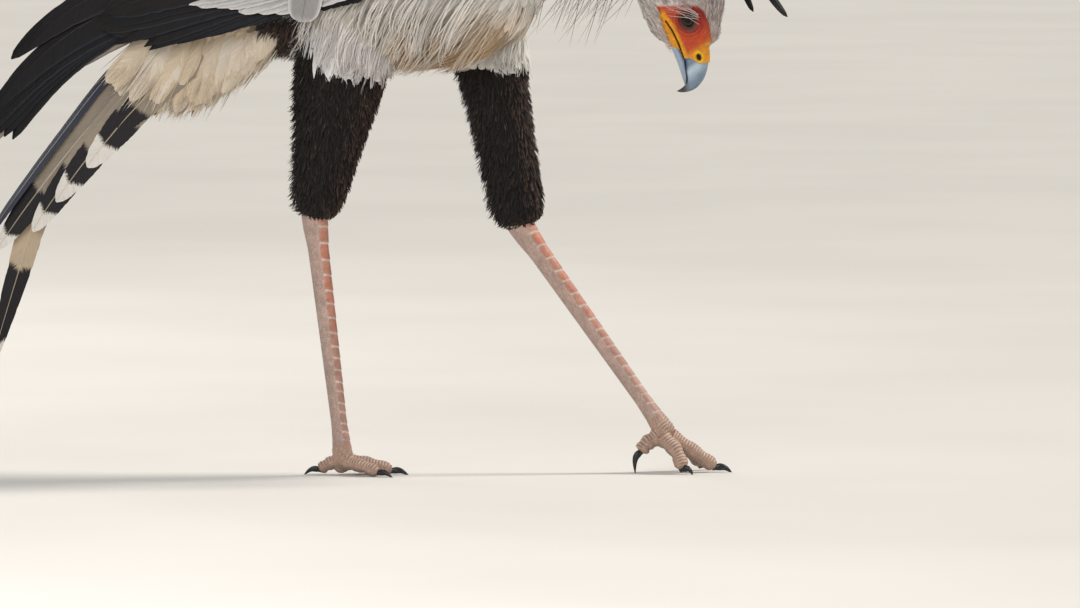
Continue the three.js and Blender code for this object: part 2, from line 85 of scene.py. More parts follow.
def rgb(text):  # a screen colour such as c8b4a0, made linear
    c = np.array([int(text[i:i + 2], 16) / 255 for i in (0, 2, 4)])
    return np.where(c <= 0.04045, c / 12.92, ((c + 0.055) / 1.055) ** 2.4)


def curveAt(points, t):  # smooth line through the points (centripetal), with its slope; straight past its ends
    points = np.asarray(points, float)
    t = np.asarray(t, float)
    spans = len(points) - 1
    padded = np.vstack([2 * points[0] - points[1], points, 2 * points[-1] - points[-2]])
    place = np.clip(t, 0, 1) * spans
    i = np.minimum(place.astype(int), spans - 1)
    w = (place - i)[..., None]
    a, b, c, d = (padded[i + k] for k in range(4))
    d0, d1, d2 = (np.maximum(np.sum((q - p) ** 2, -1, keepdims=True) ** 0.25, 1e-3)
                  for p, q in ((a, b), (b, c), (c, d)))
    t1 = ((b - a) / d0 - (c - a) / (d0 + d1) + (c - b) / d1) * d1
    t2 = ((c - b) / d1 - (d - b) / (d1 + d2) + (d - c) / d2) * d1
    e2, e3 = -3 * b + 3 * c - 2 * t1 - t2, 2 * b - 2 * c + t1 + t2
    slope = (t1 + 2 * e2 * w + 3 * e3 * w ** 2) * spans
    past = (t - np.clip(t, 0, 1))[..., None]
    return b + t1 * w + e2 * w ** 2 + e3 * w ** 3 + slope * past, slope


def curvesAt(lines, s):  # a smooth line through each row of points, read at the shares s
    return np.array([curveAt(line, s)[0] for line in lines])


def lengthsOf(paths):  # the sum of each path's steps
    return np.linalg.norm(np.diff(paths, axis=1), axis=2).sum(1)


def walkedAlong(line):  # the way gone from the line's start to each of its points
    return np.concatenate([[0], np.cumsum(np.linalg.norm(np.diff(line, axis=0), axis=1))])


def squareTo(facing, along):  # the way faced, less its part along the line
    return unit(facing - along * dot(along, facing)[..., None])


def tubeAt(stations, t, angle, grow=0.0):  # an ellipse square to the line at t: its point at the angle, and the way out
    stations = np.asarray(stations, float)
    line, along = curveAt(stations[:, :3], t)
    size = curveAt(stations[:, 3:], t)[0]
    along = unit(along)
    side = unit(yAxis - along * along[..., 1:2])
    up = np.cross(side, along)
    high, wide = (np.maximum(size[..., k] + grow, 2)[..., None] for k in (0, 1))
    s, c = np.sin(angle)[..., None], np.cos(angle)[..., None]
    return line + up * high * s + side * wide * c, unit(up * wide * s + side * high * c)


# Meshes from arrays
def putMesh(name, points, faces, materials, maps=None, tint=None, values=None, sharp=50, indices=None):
    mesh = bpy.data.meshes.new(name)
    sizes = np.concatenate([np.full(len(f), f.shape[1]) for f in faces])
    corners = np.concatenate([f.ravel() for f in faces]).astype(np.int32)
    mesh.vertices.add(len(points))
    mesh.vertices.foreach_set("co", ((points + origin) * 0.001).astype(np.float32).ravel())
    mesh.loops.add(len(corners))
    mesh.loops.foreach_set("vertex_index", corners)
    mesh.polygons.add(len(sizes))
    mesh.polygons.foreach_set("loop_start", np.concatenate([[0], np.cumsum(sizes)[:-1]]).astype(np.int32))
    if indices is not None:
        mesh.polygons.foreach_set("material_index", indices.astype(np.int32))
    mesh.update(calc_edges=True)
    mesh.shade_smooth()
    mesh.set_sharp_from_angle(angle=math.radians(sharp))
    for label, uv in (maps or {}).items():
        layer = mesh.uv_layers.new(name=label, do_init=False)
        perCorner = uv if len(uv) == len(corners) else uv[corners]
        layer.data.foreach_set("uv", perCorner.astype(np.float32).ravel())
    if tint is not None:
        layer = mesh.color_attributes.new(name="tint", type="FLOAT_COLOR", domain="POINT")
        layer.data.foreach_set("color", np.column_stack([tint, np.ones(len(tint))]).astype(np.float32).ravel())
    for label, value in (values or {}).items():
        mesh.attributes.new(label, "FLOAT", "POINT").data.foreach_set("value", value.astype(np.float32))
    for material in materials:
        mesh.materials.append(material)
    piece = bpy.data.objects.new(name, mesh)
    scene.collection.objects.link(piece)
    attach(piece, "root")
    return piece


def loft(rings, capped=True):
    # (count, rings, sides, 3) to points and faces: a fan closes each end, or the last ring joins the first.
    n, s, r, _ = rings.shape
    index = np.arange(n * s * r).reshape(n, s, r)
    a, c = (index[:, :-1], index[:, 1:]) if capped else (index, np.roll(index, -1, 1))
    quads = np.stack([a, np.roll(a, -1, 2), np.roll(c, -1, 2), c], -1).reshape(-1, 4)
    ends = [np.zeros((0, 3), int)]
    for ring, turned in ((index[:, 0], True), (index[:, -1], False)) if capped else ():
        fan = np.stack([np.repeat(ring[:, :1], r - 2, 1), ring[:, 1:-1], ring[:, 2:]], -1).reshape(-1, 3)
        ends.append(fan[:, ::-1] if turned else fan)
    tris = np.concatenate(ends)
    points = rings.reshape(-1, 3)
    split = np.concatenate([quads[:, :3], quads[:, [0, 2, 3]], tris])
    p = points[split] - points.mean(0)
    if np.sum(dot(p[:, 0], np.cross(p[:, 1], p[:, 2]))) < 0:  # faces point outwards
        quads, tris = quads[:, ::-1], tris[:, ::-1]
    return points, [quads, tris]


# Feathers. A vane's section is a ring of (across, height): soft ones have three points, broad ones a raised shaft.
softSection = np.array([[-1, 0], [0, 1], [1, 0]], float)
broadSection = np.array(
    [[-1, 0], [-0.7, 0.5], [-0.35, 0.6], [-0.06, 0.7], [0, 1.9], [0.06, 0.7], [0.35, 0.6], [0.7, 0.5], [1, 0],
     [0.5, -0.35], [0, -0.5], [-0.5, -0.35]], float)
midSection = np.array([[-1, 0], [-0.5, 0.7], [0, 1.3], [0.5, 0.7], [1, 0], [0, -0.3]], float)


def vaneOutline(s, blunt, quill=0.3, flare=0.0, point=0.5):  # half width at share s, against the widest
    base = quill + (1 - quill) * s ** flare if flare else np.minimum(1, quill + s / 0.22)
    return base * (1 - (0.9993 * s) ** blunt) ** point


def frayed(shape, deep, rings):  # every other ring pulled in, unevenly, so that the edge breaks into barbs
    pull = rng.uniform(0.35, 1.0, shape) * deep
    pull[:, ::2] *= 0.15
    pull[:, :1] = 0
    return 1 - pull[:, :rings]


def vanes(shaft, out, half, section, form):
    # Rings of vanes round their shafts: across the way out and along, by the section's heights, edges swept to the tip.
    count, rings = shaft.shape[:2]
    along = unit(np.gradient(shaft, axis=1))
    wide = unit(np.cross(along, out))
    roll = form.get("roll", np.zeros(count))[:, None, None]
    wide, up = wide * np.cos(roll) + out * np.sin(roll), out * np.cos(roll) - wide * np.sin(roll)
    across, high = section[:, 0], section[:, 1]
    h = half[..., None]
    slant = form.get("slant", 0.3) * np.abs(across) * h * (1 - 0.7 * np.linspace(0, 1, rings)[None, :, None] ** 3)
    drop = -form.get("camber", 0.12) * across ** 2 * h
    thick = form.get("thick", 0.35) * high * np.minimum(1, 0.25 + h / 4)
    return (shaft[:, :, None] + wide[:, :, None] * (across * h)[..., None]
            + up[:, :, None] * (drop + thick)[..., None] + along[:, :, None] * slant[..., None])


def vaneData(rings, section, length, half, patch, chance):
    # For each point: its place on the vane in centimetres, its share along and across, and its patch of the bake map.
    shape = rings.shape[:3]
    share, across, chance = (np.broadcast_to(k, shape) for k in (
        np.linspace(0, 1, shape[1])[None, :, None], section[:, 0][None, None], chance[:, None, None]))
    along = share * length[:, None, None]
    vane = np.stack([along * 0.1, across * half[..., None] * 0.1], -1).reshape(-1, 2)
    bake = patch[:, None, None] + np.stack([share, across * 0.5 + 0.5], -1) * 0.003
    values = {"reach": share, "edge": np.abs(across), "chance": chance, "fromTip": (1 - share) * length[:, None, None]}
    return {"OFBake": bake.reshape(-1, 2), "vane": vane}, {k: value.reshape(-1) for k, value in values.items()}


def stripMap(rings, section, low, tall):  # a long quill's own strip of the bake map: along it, and up from low
    share = 0.02 + 0.96 * np.linspace(0, 1, rings.shape[1])[None, :, None]
    across = low[:, None, None] + tall * (section[:, 0][None, None] * 0.5 + 0.5)
    return np.stack([np.broadcast_to(k, rings.shape[:3]) for k in (share, across)], -1).reshape(-1, 2)


def perPoint(tint, rings, tipTint=None, start=0.5):  # one colour a feather, turning to another towards its tip
    count, s, r = rings.shape[:3]
    shade = np.broadcast_to(tint[:, None, None], (count, s, r, 3)).copy()
    if tipTint is not None:
        t = smooth(start, 1, np.linspace(0, 1, s))[None, :, None, None]
        shade = mix(shade, np.broadcast_to(tipTint[:, None, None], shade.shape), t)
    return shade.reshape(-1, 3)


class Bunch:  # joins batches of feathers into one piece
    def __init__(self):
        self.points, self.quads, self.tris, self.maps, self.values, self.tints, self.size = [], [], [], [], [], [], 0

    def add(self, rings, section, length, half, patch, chance, tint, tipTint=None, start=0.5):
        # feathers as lofted rings, with their maps, values and colours
        points, (quads, tris) = loft(rings)
        maps, values = vaneData(rings, section, length, half, patch, chance)
        tints = perPoint(tint, rings, tipTint, start)
        for held, new in ((self.points, points), (self.quads, quads + self.size), (self.tris, tris + self.size),
                          (self.maps, maps), (self.values, values), (self.tints, tints)):
            held.append(new)
        self.size += len(points)

    def put(self, name, material, slot, sharp=50):  # all batches end to end, as one object
        joined = lambda parts: {k: np.concatenate([p[k] for p in parts]) for k in parts[0]}
        points, quads, tris, tints = map(np.concatenate, (self.points, self.quads, self.tris, self.tints))
        piece = putMesh(name, points, [quads, tris], [material], joined(self.maps), tints, joined(self.values),
                        sharp)
        print(f"  {name}: {2 * len(quads) + len(tris)} triangles")
        return piece


def rowsOn(stations, span, rowStep, spacing, spread=0.35):
    # Roots in staggered rows on a tube, about rowStep apart along it and spacing round it: t, angle, place, way out.
    stations = np.asarray(stations, float)
    t = np.linspace(*span, 400)
    line, size = curveAt(stations[:, :3], t)[0], curveAt(stations[:, 3:], t)[0]
    walked = walkedAlong(line)
    rows = np.interp(np.arange(0, walked[-1], rowStep), walked, t)
    perimeter = np.interp(rows, t, math.pi * (size[:, 0] + size[:, 1]))
    perRow = np.maximum(6, (perimeter / spacing).astype(int))
    ts, angles = [], []
    for i, (row, count) in enumerate(zip(rows, perRow)):
        jitter = rng.uniform(-spread, spread, (2, count))
        angles.append((np.arange(count) + 0.5 * (i % 2) + jitter[0]) / count * 2 * math.pi)
        ts.append(row + jitter[1] * rowStep * (span[1] - span[0]) / walked[-1])
    t, angle = np.concatenate(ts), np.concatenate(angles)
    return t, angle, *tubeAt(stations, t, angle)


def layOn(stations, t, angle, length, lie, low, high, rings, power=0.6):
    # Shafts that walk over a tube the way of lie, from low to high above it, with the way out at each ring.
    points, outs = [], []
    step = length / (rings - 1)
    tiny = 1e-3
    for k in range(rings):
        grow = mix(low, high, (k / (rings - 1)) ** power)
        pos, out = tubeAt(stations, t, angle, grow)
        points.append(pos)
        outs.append(out)
        alongT = (tubeAt(stations, t + tiny, angle, grow)[0] - pos) / tiny
        around = (tubeAt(stations, t, angle + tiny, grow)[0] - pos) / tiny
        way = lie(pos, out, k / (rings - 1))
        way = unit(way - out * dot(way, out)[:, None])
        tt, ta, aa = dot(alongT, alongT), dot(alongT, around), dot(around, around)
        wt, wa = dot(way, alongT), dot(way, around)
        area = np.maximum(tt * aa - ta ** 2, 0.02 * tt * aa + 1)
        t = t + np.clip(step * (wt * aa - wa * ta) / area, -0.03, 0.03)
        angle = angle + np.clip(step * (wa * tt - wt * ta) / area, -0.4, 0.4)
    path = np.stack(points, 1)
    strides = np.diff(path, axis=1)
    walked = np.linalg.norm(strides, axis=2, keepdims=True)
    most = np.broadcast_to(1.5 * step, len(path))[:, None, None]
    strides = strides * np.minimum(1, most / np.maximum(walked, 1e-6))
    return np.concatenate([path[:, :1], path[:, :1] + np.cumsum(strides, 1)], 1), np.stack(outs, 1)


def clumped(shaft, group, pull):  # each strand is drawn towards a chosen one near it, more and more to its tip
    count, rings = shaft.shape[:2]
    chosen = rng.permutation(count)[:max(1, count // group)]
    roots = shaft[:, 0]
    near = np.concatenate([
        np.argmin(np.sum((roots[i:i + 400, None] - roots[chosen][None]) ** 2, -1), 1) for i in range(0, count, 400)])
    share = rng.uniform(*pull, count)[:, None, None] * np.linspace(0, 1, rings)[None, :, None] ** 1.3
    return mix(shaft, shaft[chosen[near]], share), near


def patchOn(t, angle, box=(0.01, 0.01, 0.98, 0.98)):  # a root's place on the tube's own unwrap
    u = box[0] + box[2] * np.clip(t, 0, 1)
    v = box[1] + box[3] * np.mod(angle / (2 * math.pi), 1)
    return np.stack([u, v], -1)


# Node groups that several materials share
def newGroup(name, inputs, outputs):  # a group's tree, with its ways in (and their values) and its ways out
    group = bpy.data.node_groups.new(name, "ShaderNodeTree")
    for label, value in inputs.items():
        group.interface.new_socket(name=label, in_out="INPUT", socket_type="NodeSocketFloat").default_value = value
    for label in outputs:
        group.interface.new_socket(name=label, in_out="OUTPUT", socket_type="NodeSocketFloat")
    return group, Wiring(name, group), group.nodes.new("NodeGroupInput"), group.nodes.new("NodeGroupOutput")


class Wiring:  # short ways to place and join nodes, in a group's tree or in that of a new material
    def __init__(self, name, tree=None):
        if tree is None:
            self.material = bpy.data.materials.new(name)
            self.material.use_nodes = True
            tree = self.material.node_tree
            self.shader = tree.nodes["Principled BSDF"]
        self.tree = tree

    def join(self, value, socket):  # a link from another node, or else a plain value
        if isinstance(value, bpy.types.NodeSocket):
            self.tree.links.new(value, socket)
        else:
            socket.default_value = value

    def node(self, kind, inputs=None, **settings):  # one node with its settings, and its inputs joined
        made = self.tree.nodes.new(kind)
        for key, value in settings.items():
            setattr(made, key, value)
        for key, value in (inputs or {}).items():
            self.join(value, made.inputs[key])
        return made

    def math(self, operation, a, b=0.0, clamp=False):  # one sum or product
        return self.node("ShaderNodeMath", {0: a, 1: b}, operation=operation, use_clamp=clamp).outputs[0]

    def ramp(self, value, low, high, to=(0.0, 1.0), kind="SMOOTHSTEP"):  # low to high onto another range
        made = self.node("ShaderNodeMapRange", {"Value": value, "From Min": low, "From Max": high,
                                                "To Min": to[0], "To Max": to[1]}, interpolation_type=kind)
        return made.outputs["Result"]

    def blend(self, share, a, b, kind="MIX"):  # colour a where the share is 0, b where it is 1
        made = self.node("ShaderNodeMix", data_type="RGBA", blend_type=kind)
        for key, value in ((0, share), (6, a), (7, b)):
            self.join((*value, 1.0) if isinstance(value, (tuple, np.ndarray)) else value, made.inputs[key])
        return made.outputs[2]

    def attribute(self, name, output="Fac"):  # a value stored on the mesh
        return self.node("ShaderNodeAttribute", attribute_name=name).outputs[output]

    def place(self):  # the object's own coordinates
        return self.node("ShaderNodeTexCoord").outputs["Object"]

    def noise(self, vector, scale, detail, **more):  # cloudy noise
        given = {"Vector": vector, "Scale": scale, "Detail": detail, **more}
        return self.node("ShaderNodeTexNoise", given).outputs["Fac"]

    def grid(self, *parts):  # three numbers as one vector
        return self.node("ShaderNodeCombineXYZ", dict(enumerate(parts))).outputs[0]

    def mottle(self, scale):  # slow uneven shade
        return self.node("ShaderNodeGroup", {"Scale": scale}, node_tree=mottleGroup).outputs["Shade"]

    def uneven(self, scale, low, high):  # the same as a factor between low and high
        return self.ramp(self.mottle(scale), 0.0, 1.0, (low, high), "LINEAR")

    def shaded(self, shade, tint=None):  # the stored tint times a grey
        grey = self.grid(shade, shade, shade)
        return self.blend(1.0, self.attribute("tint", "Color") if tint is None else tint, grey, "MULTIPLY")

    def end(self, colour, rough, bump=None, more=None):  # colour, roughness, raised detail and plain values
        given = {"Base Color": colour, "Roughness": rough, **(more or {})}
        if bump:
            raised = dict(zip(("Strength", "Distance", "Height"), bump))
            given["Normal"] = self.node("ShaderNodeBump", raised).outputs[0]
        for key, value in given.items():
            self.join(value, self.shader.inputs[key])
        return self.material


def makeBarbGroup():
    # Streaks along the barbs: noise stretched along lines that leave the shaft at a slant, different on each feather.
    group, w, inp, out = newGroup("barbs", {"Fineness": 9.0, "Slant": 0.9, "Splits": 0.3}, ("Streak", "Height"))
    place = w.node("ShaderNodeSeparateXYZ", {0: w.node("ShaderNodeUVMap", uv_map="vane").outputs[0]})
    off = w.math("MULTIPLY", w.attribute("chance"), 57.0)
    span = w.math("ABSOLUTE", place.outputs[1])
    barb = w.math("SUBTRACT", place.outputs[0], w.math("MULTIPLY", span, inp.outputs["Slant"]))
    fine = w.grid(w.math("MULTIPLY", barb, inp.outputs["Fineness"]), w.math("MULTIPLY", place.outputs[1], 0.9), off)
    noise = w.noise(fine, 1.0, 2.0, Roughness=0.65)
    split = w.ramp(w.noise(w.grid(w.math("MULTIPLY", barb, 1.6), place.outputs[1], off), 1.0, 1.0), 0.6, 0.7)
    dark = w.math("MULTIPLY", split, inp.outputs["Splits"])
    w.join(w.math("SUBTRACT", w.ramp(noise, 0.3, 0.72), dark, clamp=True), out.inputs["Streak"])
    w.join(w.math("ADD", noise, w.math("MULTIPLY", dark, -0.6)), out.inputs["Height"])
    return group


def makeMottleGroup():  # slow uneven shade over the whole bird, from object coordinates
    group, w, inp, out = newGroup("mottle", {"Scale": 30.0}, ("Shade",))
    w.join(w.ramp(w.noise(w.place(), inp.outputs["Scale"], 3.0), 0.25, 0.75), out.inputs["Shade"])
    return group


barbGroup = makeBarbGroup()
mottleGroup = makeMottleGroup()


def featherMaterial(name, form, marks=None):
    # Tint from the feather, darker between barbs, uneven in the large, with a soft sheen and raised barbs.
    w = Wiring(name)
    sockets = {key.capitalize(): form[key] for key in ("fineness", "slant", "splits")}
    barbs = w.node("ShaderNodeGroup", node_tree=barbGroup)
    for key, value in sockets.items():
        barbs.inputs[key].default_value = value
    streak = barbs.outputs["Streak"]
    tint = w.attribute("tint", "Color")
    if marks:
        tint = marks(w, tint, streak)
    shade = w.math("SUBTRACT", 1.0, w.math("MULTIPLY", w.math("SUBTRACT", 1.0, streak), form["deep"]))
    shade = w.math("MULTIPLY", shade, w.uneven(form["mottleScale"], 1 - form["uneven"], 1.0))
    colour = w.shaded(shade, tint)
    if form["glow"]:  # paler fibres where the streak is highest
        colour = w.blend(w.math("MULTIPLY", w.ramp(streak, 0.75, 1.0), form["glow"]), colour, rgb(form["glowTint"]))
    rough = w.ramp(streak, 0.0, 1.0, (form["rough"] + 0.12, form["rough"]), "LINEAR")
    return w.end(colour, rough, (form["bump"], 0.0006, barbs.outputs["Height"]), {
        "Sheen Weight": form["sheen"], "Sheen Roughness": 0.4, "Specular IOR Level": form["gloss"]})


# Camera: the photograph's side view, a little above level
cameraForm = {"target": (0.1713, 0.0, 0.2011), "away": 12.0, "down": 4.0, "lens": 339.0}


def placeCamera(form):  # away from its target by its distance, a little above it, and turned down to it
    data = bpy.data.cameras.new("camera")
    camera = bpy.data.objects.new("camera", data)
    scene.collection.objects.link(camera)
    down, (x, _, z) = math.radians(form["down"]), form["target"]
    camera.location = (x, -form["away"] * math.cos(down), z + form["away"] * math.sin(down))
    camera.rotation_euler = (math.pi / 2 - down, 0, 0)
    data.sensor_fit, data.sensor_width, data.lens, data.clip_end = "HORIZONTAL", 36.0, form["lens"], 60
    scene.camera = camera


placeCamera(cameraForm)

# The bird's lines: x, y, z, half height, half width
trunkStations = np.array([
    [158, 0, 622, 26, 24], [146, 0, 616, 60, 50], [122, 0, 608, 91, 77], [86, 0, 602, 110, 93],
    [40, 0, 594, 113, 100], [-12, 0, 588, 109, 100], [-64, 0, 581, 98, 93], [-112, 0, 575, 82, 80],
    [-165, 0, 564, 67, 64], [-205, 0, 545, 60, 53], [-250, 0, 518, 50, 43], [-290, 0, 492, 34, 30],
    [-312, 0, 474, 16, 16]], float)
eyeAt = np.array([340.0, 0.0, 535.0])
headBow = math.radians(72)
towardsBill = np.array([math.cos(headBow), 0, -math.sin(headBow)])
towardsCrown = np.array([math.sin(headBow), 0, math.cos(headBow)])


def onHead(u, v, y=0.0):  # head frame: u from the eye to the bill, v to the crown
    u, v, y = (np.asarray(k, float)[..., None] for k in (u, v, y))
    return eyeAt + u * towardsBill + v * towardsCrown + y * yAxis


def headPlace(points):  # the way back: the place of points in the head frame
    away = points - eyeAt
    return dot(away, towardsBill), dot(away, towardsCrown)


neckOnly = [[112, 0, 640, 64, 52], [165, 0, 665, 48, 42], [218, 0, 677, 38, 35], [266, 0, 662, 36, 33],
            [300, 0, 628, 39, 33], [318, 0, 596, 42, 34]]
headOnly = [[-46, -4, 45, 34], [-22, 0, 48.5, 31], [0, -2, 44, 25], [16, -3, 37, 21], [30, -6, 27, 17],
            [41, -6, 20, 14], [49, -6, 16.5, 12.3], [58, -8, 11, 8.5]]
neckStations = np.array(neckOnly + [[*onHead(u, v), h, w] for u, v, h, w in headOnly], float)
faceFrom = len(neckOnly) / (len(neckStations) - 1)  # t where the head's own stations start

legs = {
    "right": {
        "y": -1, "knee": (-46, -46, 600), "heel": (-100, -31, 304), "joint": (-67, -14, 19.2),
        "tibia": [[0, 42, 34], [0.2, 56, 40], [0.37, 55, 38], [0.5, 51, 35], [0.66, 43, 31], [0.8, 36, 27],
                  [0.9, 32, 24], [0.97, 25, 20], [1.0, 14, 12]],
        "toes": {
            "inner": ([[4, 3, -4], [24, 15, -8], [42, 24, -14]], [[8, 5, 3], [19, 11, -7]], 8.0),
            "middle": ([[6, 0, -3], [32, 1, -7], [58, 1, -14]], [[9, 0, 3], [20, 0, -7]], 8.4),
            "outer": ([[4, -4, -4], [24, -16, -8], [42, -26, -14]], [[8, -5, 3], [18, -10, -7]], 7.6),
            "hind": ([[-6, 1, -2], [-18, 3, -7], [-28, 5, -13]], [[-9, 1, 4], [-19, 3, -8]], 7.6),
        },
    },
    "left": {
        "y": 1, "knee": (88, 46, 592), "heel": (143, 30, 290), "joint": (311, 18, 51.4),
        "tibia": [[0, 36, 30], [0.2, 44, 36], [0.37, 42, 33], [0.5, 38, 30], [0.66, 35, 28], [0.8, 33, 26],
                  [0.9, 32, 24], [0.97, 26, 20], [1.0, 14, 12]],
        "toes": {
            "inner": ([[0, -7, -11], [15, -16, -25], [23, -23, -45]], [[7, -4, 4], [12, -7, -8]], 8.6),
            "middle": ([[9, 0, -9], [40, 2, -30], [62, 3, -45]], [[10, 1, 3], [20, 1, -8]], 9.0),
            "outer": ([[6, 7, -10], [30, 21, -26], [46, 30, -45]], [[9, 5, 4], [17, 9, -8]], 8.2),
            "hind": ([[-8, -2, -10], [-20, -5, -17], [-27, -7, -26]], [[-9, -2, -3], [-6, -2, -27]], 9.0),
        },
    },
}
for leg in legs.values():
    knee, heel = np.array(leg["knee"], float), np.array(leg["heel"], float)
    leg["stations"] = np.array([[*mix(knee, heel, share), h, w] for share, h, w in leg["tibia"]])


# Skin: trunk, neck with head, and legs, inside the coat and bare on the face, shanks and toes
skinForm = {"trunkIn": 12.0, "neckIn": 7.0, "headIn": 3.0, "tibiaIn": 2.5, "headSides": 152, "footVoxel": 1.05}
faceLine = np.array([  # edge of the bare face, u and v
    [56, 16], [38, 15], [30, 18.5], [19, 20.5], [7, 21.5], [-6, 20], [-14, 15], [-19, 6], [-21, -4], [-24, -16],
    [-28, -29], [-19, -29.5], [-5, -30], [8, -29.5], [22, -28.5], [28, -31], [56, -31]], float)


def insideLine(line, u, v):  # signed distance to a closed outline: positive inside
    p = np.stack([u, v], -1)[..., None, :]
    a, b = line, np.roll(line, -1, 0)
    e = b - a
    t = np.clip(np.sum((p - a) * e, -1) / np.sum(e * e, -1), 0, 1)
    near = np.min(np.linalg.norm(p - a - t[..., None] * e, axis=-1), -1)
    cross = ((a[:, 1] > p[..., 1]) != (b[:, 1] > p[..., 1])) & (
        p[..., 0] < (b[:, 0] - a[:, 0]) * (p[..., 1] - a[:, 1]) / (b[:, 1] - a[:, 1] + 1e-12) + a[:, 0])
    return np.where(np.sum(cross, -1) % 2 == 1, near, -near)


def nearLine(line, u, v):  # distance to an open line
    p = np.stack([u, v], -1)[..., None, :]
    a, e = line[:-1], np.diff(line, axis=0)
    t = np.clip(np.sum((p - a) * e, -1) / np.sum(e * e, -1), 0, 1)
    return np.min(np.linalg.norm(p - a - t[..., None] * e, axis=-1), -1)


mouthLine = np.array([[-9.5, -25.5], [4, -21.5], [21, -19.2], [38, -18.7], [54, -21.2], [60, -22.6]], float)
# crease is painted shade in the face's folds and round the lid; dark is painted shade in nostril and mouth
faceTint = {"red": rgb("9a1204"), "orange": rgb("c44200"), "yellow": rgb("e39500"), "pale": rgb("d9c7bd"),
            "dark": rgb("0c0604"), "crease": rgb("6e1405"), "rim": rgb("f8c400"), "gape": rgb("f2b200"),
            "horn": rgb("8497aa")}
browLine = np.array([[-17, 11.5], [-9, 15.5], [1, 17], [11, 15.5], [20, 10]], float)
mouthAngle = 0.6  # about where the mouth lies round the head
eyeShift = -3.2  # along u, from the head's own middle
nostrilAt = (43.5, -1.2, 4.2, 2.9)  # u, v and the two half widths


def headGrow(points):  # how far the skin lies inside the coat's outer form: nothing on the bare face
    u, v = headPlace(points)
    bare = smooth(-3, 3, insideLine(faceLine, u, v))
    deep = mix(skinForm["neckIn"], skinForm["headIn"], smooth(-90, -40, u))
    return -deep * (1 - bare)


def hornFrom(v):  # u where the soft cere ends and the horn begins
    return np.interp(v, [-28, -24, -20.4, -19.3, -17, -12.5, -7, -2, 3, 8],
                     [21.5, 24.5, 28, 39, 39.5, 40.8, 46.5, 51, 52.6, 53])


def inNostril(u, v):  # 0 in the middle, 1 at its rim
    return np.hypot((u - nostrilAt[0]) / nostrilAt[2], (v - nostrilAt[1]) / nostrilAt[3])


def roundEye(u, v):  # distance from the eye's middle, a little squeezed along the head
    return np.hypot((u - eyeShift) / 1.15, v)


def foldWave(u, ringed):  # rings of fine folds round the eye
    return np.sin(1.7 * ringed + 0.6 * np.sin(0.35 * u)) * hump(ringed, 15, 5)


def faceShape(points):  # folds of the face, pushed out or in across the head: brow, eye socket, cere, nostril, gape
    u, v = headPlace(points)
    side = np.sign(points[:, 1])
    flat = smooth(6, 13, np.abs(points[:, 1]))
    brow = 4.8 * hump(nearLine(browLine, u, v), 0, 3.4)
    socket = -7.2 * np.exp(-(((u - eyeShift) / 12) ** 2 + (v / 10.8) ** 2) ** 1.6)
    lore = -1.6 * np.exp(-((u - 20) / 9) ** 2 - ((v + 4) / 8) ** 2)
    cheek = 1.2 * np.exp(-((u + 10) / 12) ** 2 - ((v + 17) / 6) ** 2)
    hole, mouth = inNostril(u, v), nearLine(mouthLine, u, v)
    nostril = -2.6 * np.exp(-hole ** 3) + hump(hole, 1.55, 0.42)
    gape = (-1.6 * hump(mouth, 0, 0.9) + 0.9 * hump(mouth, 2.4, 1.3)) * smooth(46, 38, u)
    folds = 0.5 * foldWave(u, roundEye(u, v))
    wrinkle = 0.2 * np.sin(1.25 * u + 0.5 * v + np.sin(0.4 * v)) * smooth(-30, -10, u) * smooth(34, 20, u)
    push = (brow + socket + lore + cheek + nostril + gape + folds + wrinkle) * flat * smooth(-45, -25, u)
    points = points + yAxis * (side * push)[:, None]
    core = onHead(u, 0 * v - 7)  # past the cere the skin draws in, under the horn
    return washed(points, (core, 0.34 * smooth(0, 4, u - hornFrom(v))))


def faceColour(points):
    # Orange, redder round the eye, gold at cere and gape, painted shade in the folds, round the lid, in the nostril and
    # along the mouth, horn beyond the cere.
    u, v = headPlace(points)
    ringed, hole, mouth = roundEye(u, v), inNostril(u, v), nearLine(mouthLine, u, v)
    lowGold = smooth(-15, -19, v - 0.12 * u + 3.5 * smooth(0, -18, u)) * smooth(-25, -18, u)
    tint = washed(
        faceTint["orange"],
        (faceTint["red"], smooth(25, 11, np.hypot(u + 4, v - 5)) * smooth(-12, 8, v) * 0.95),
        (faceTint["crease"], np.clip(-0.75 * foldWave(u, ringed), 0, 0.6)),
        (faceTint["crease"], 0.85 * hump(ringed, 9.5, 3.0)),
        (faceTint["yellow"], np.maximum(lowGold, smooth(27, 39, u + 0.3 * v))),
        (faceTint["rim"], 0.9 * hump(hole, 1.5, 0.4)),
        (faceTint["gape"], 0.7 * hump(mouth, 2.2, 0.9) * smooth(-24, -18, v)),
        (faceTint["horn"], smooth(-0.5, 0.8, u - hornFrom(v))),
        (faceTint["dark"], smooth(1.12, 0.85, hole)),
        (faceTint["dark"], smooth(1.2, 0.5, mouth) * smooth(52, 46, u)))
    return washed(faceTint["pale"], (tint, smooth(-2.5, 0.5, insideLine(faceLine, u, v))))


def closeAngles(sides):  # angles round the head, closest together at the mouth and the eye
    phi = np.linspace(-math.pi / 2, math.pi / 2, 600)
    weight = np.cumsum(1 + 3 * hump(phi, mouthAngle, 0.25) + 1.2 * hump(phi, -0.05, 0.4))
    share = (weight - weight[0]) / (weight[-1] - weight[0])
    k = np.arange(sides // 2) / (sides // 2)
    return np.concatenate([np.interp(k, share, phi), math.pi - np.interp(1 - k, share, phi)])


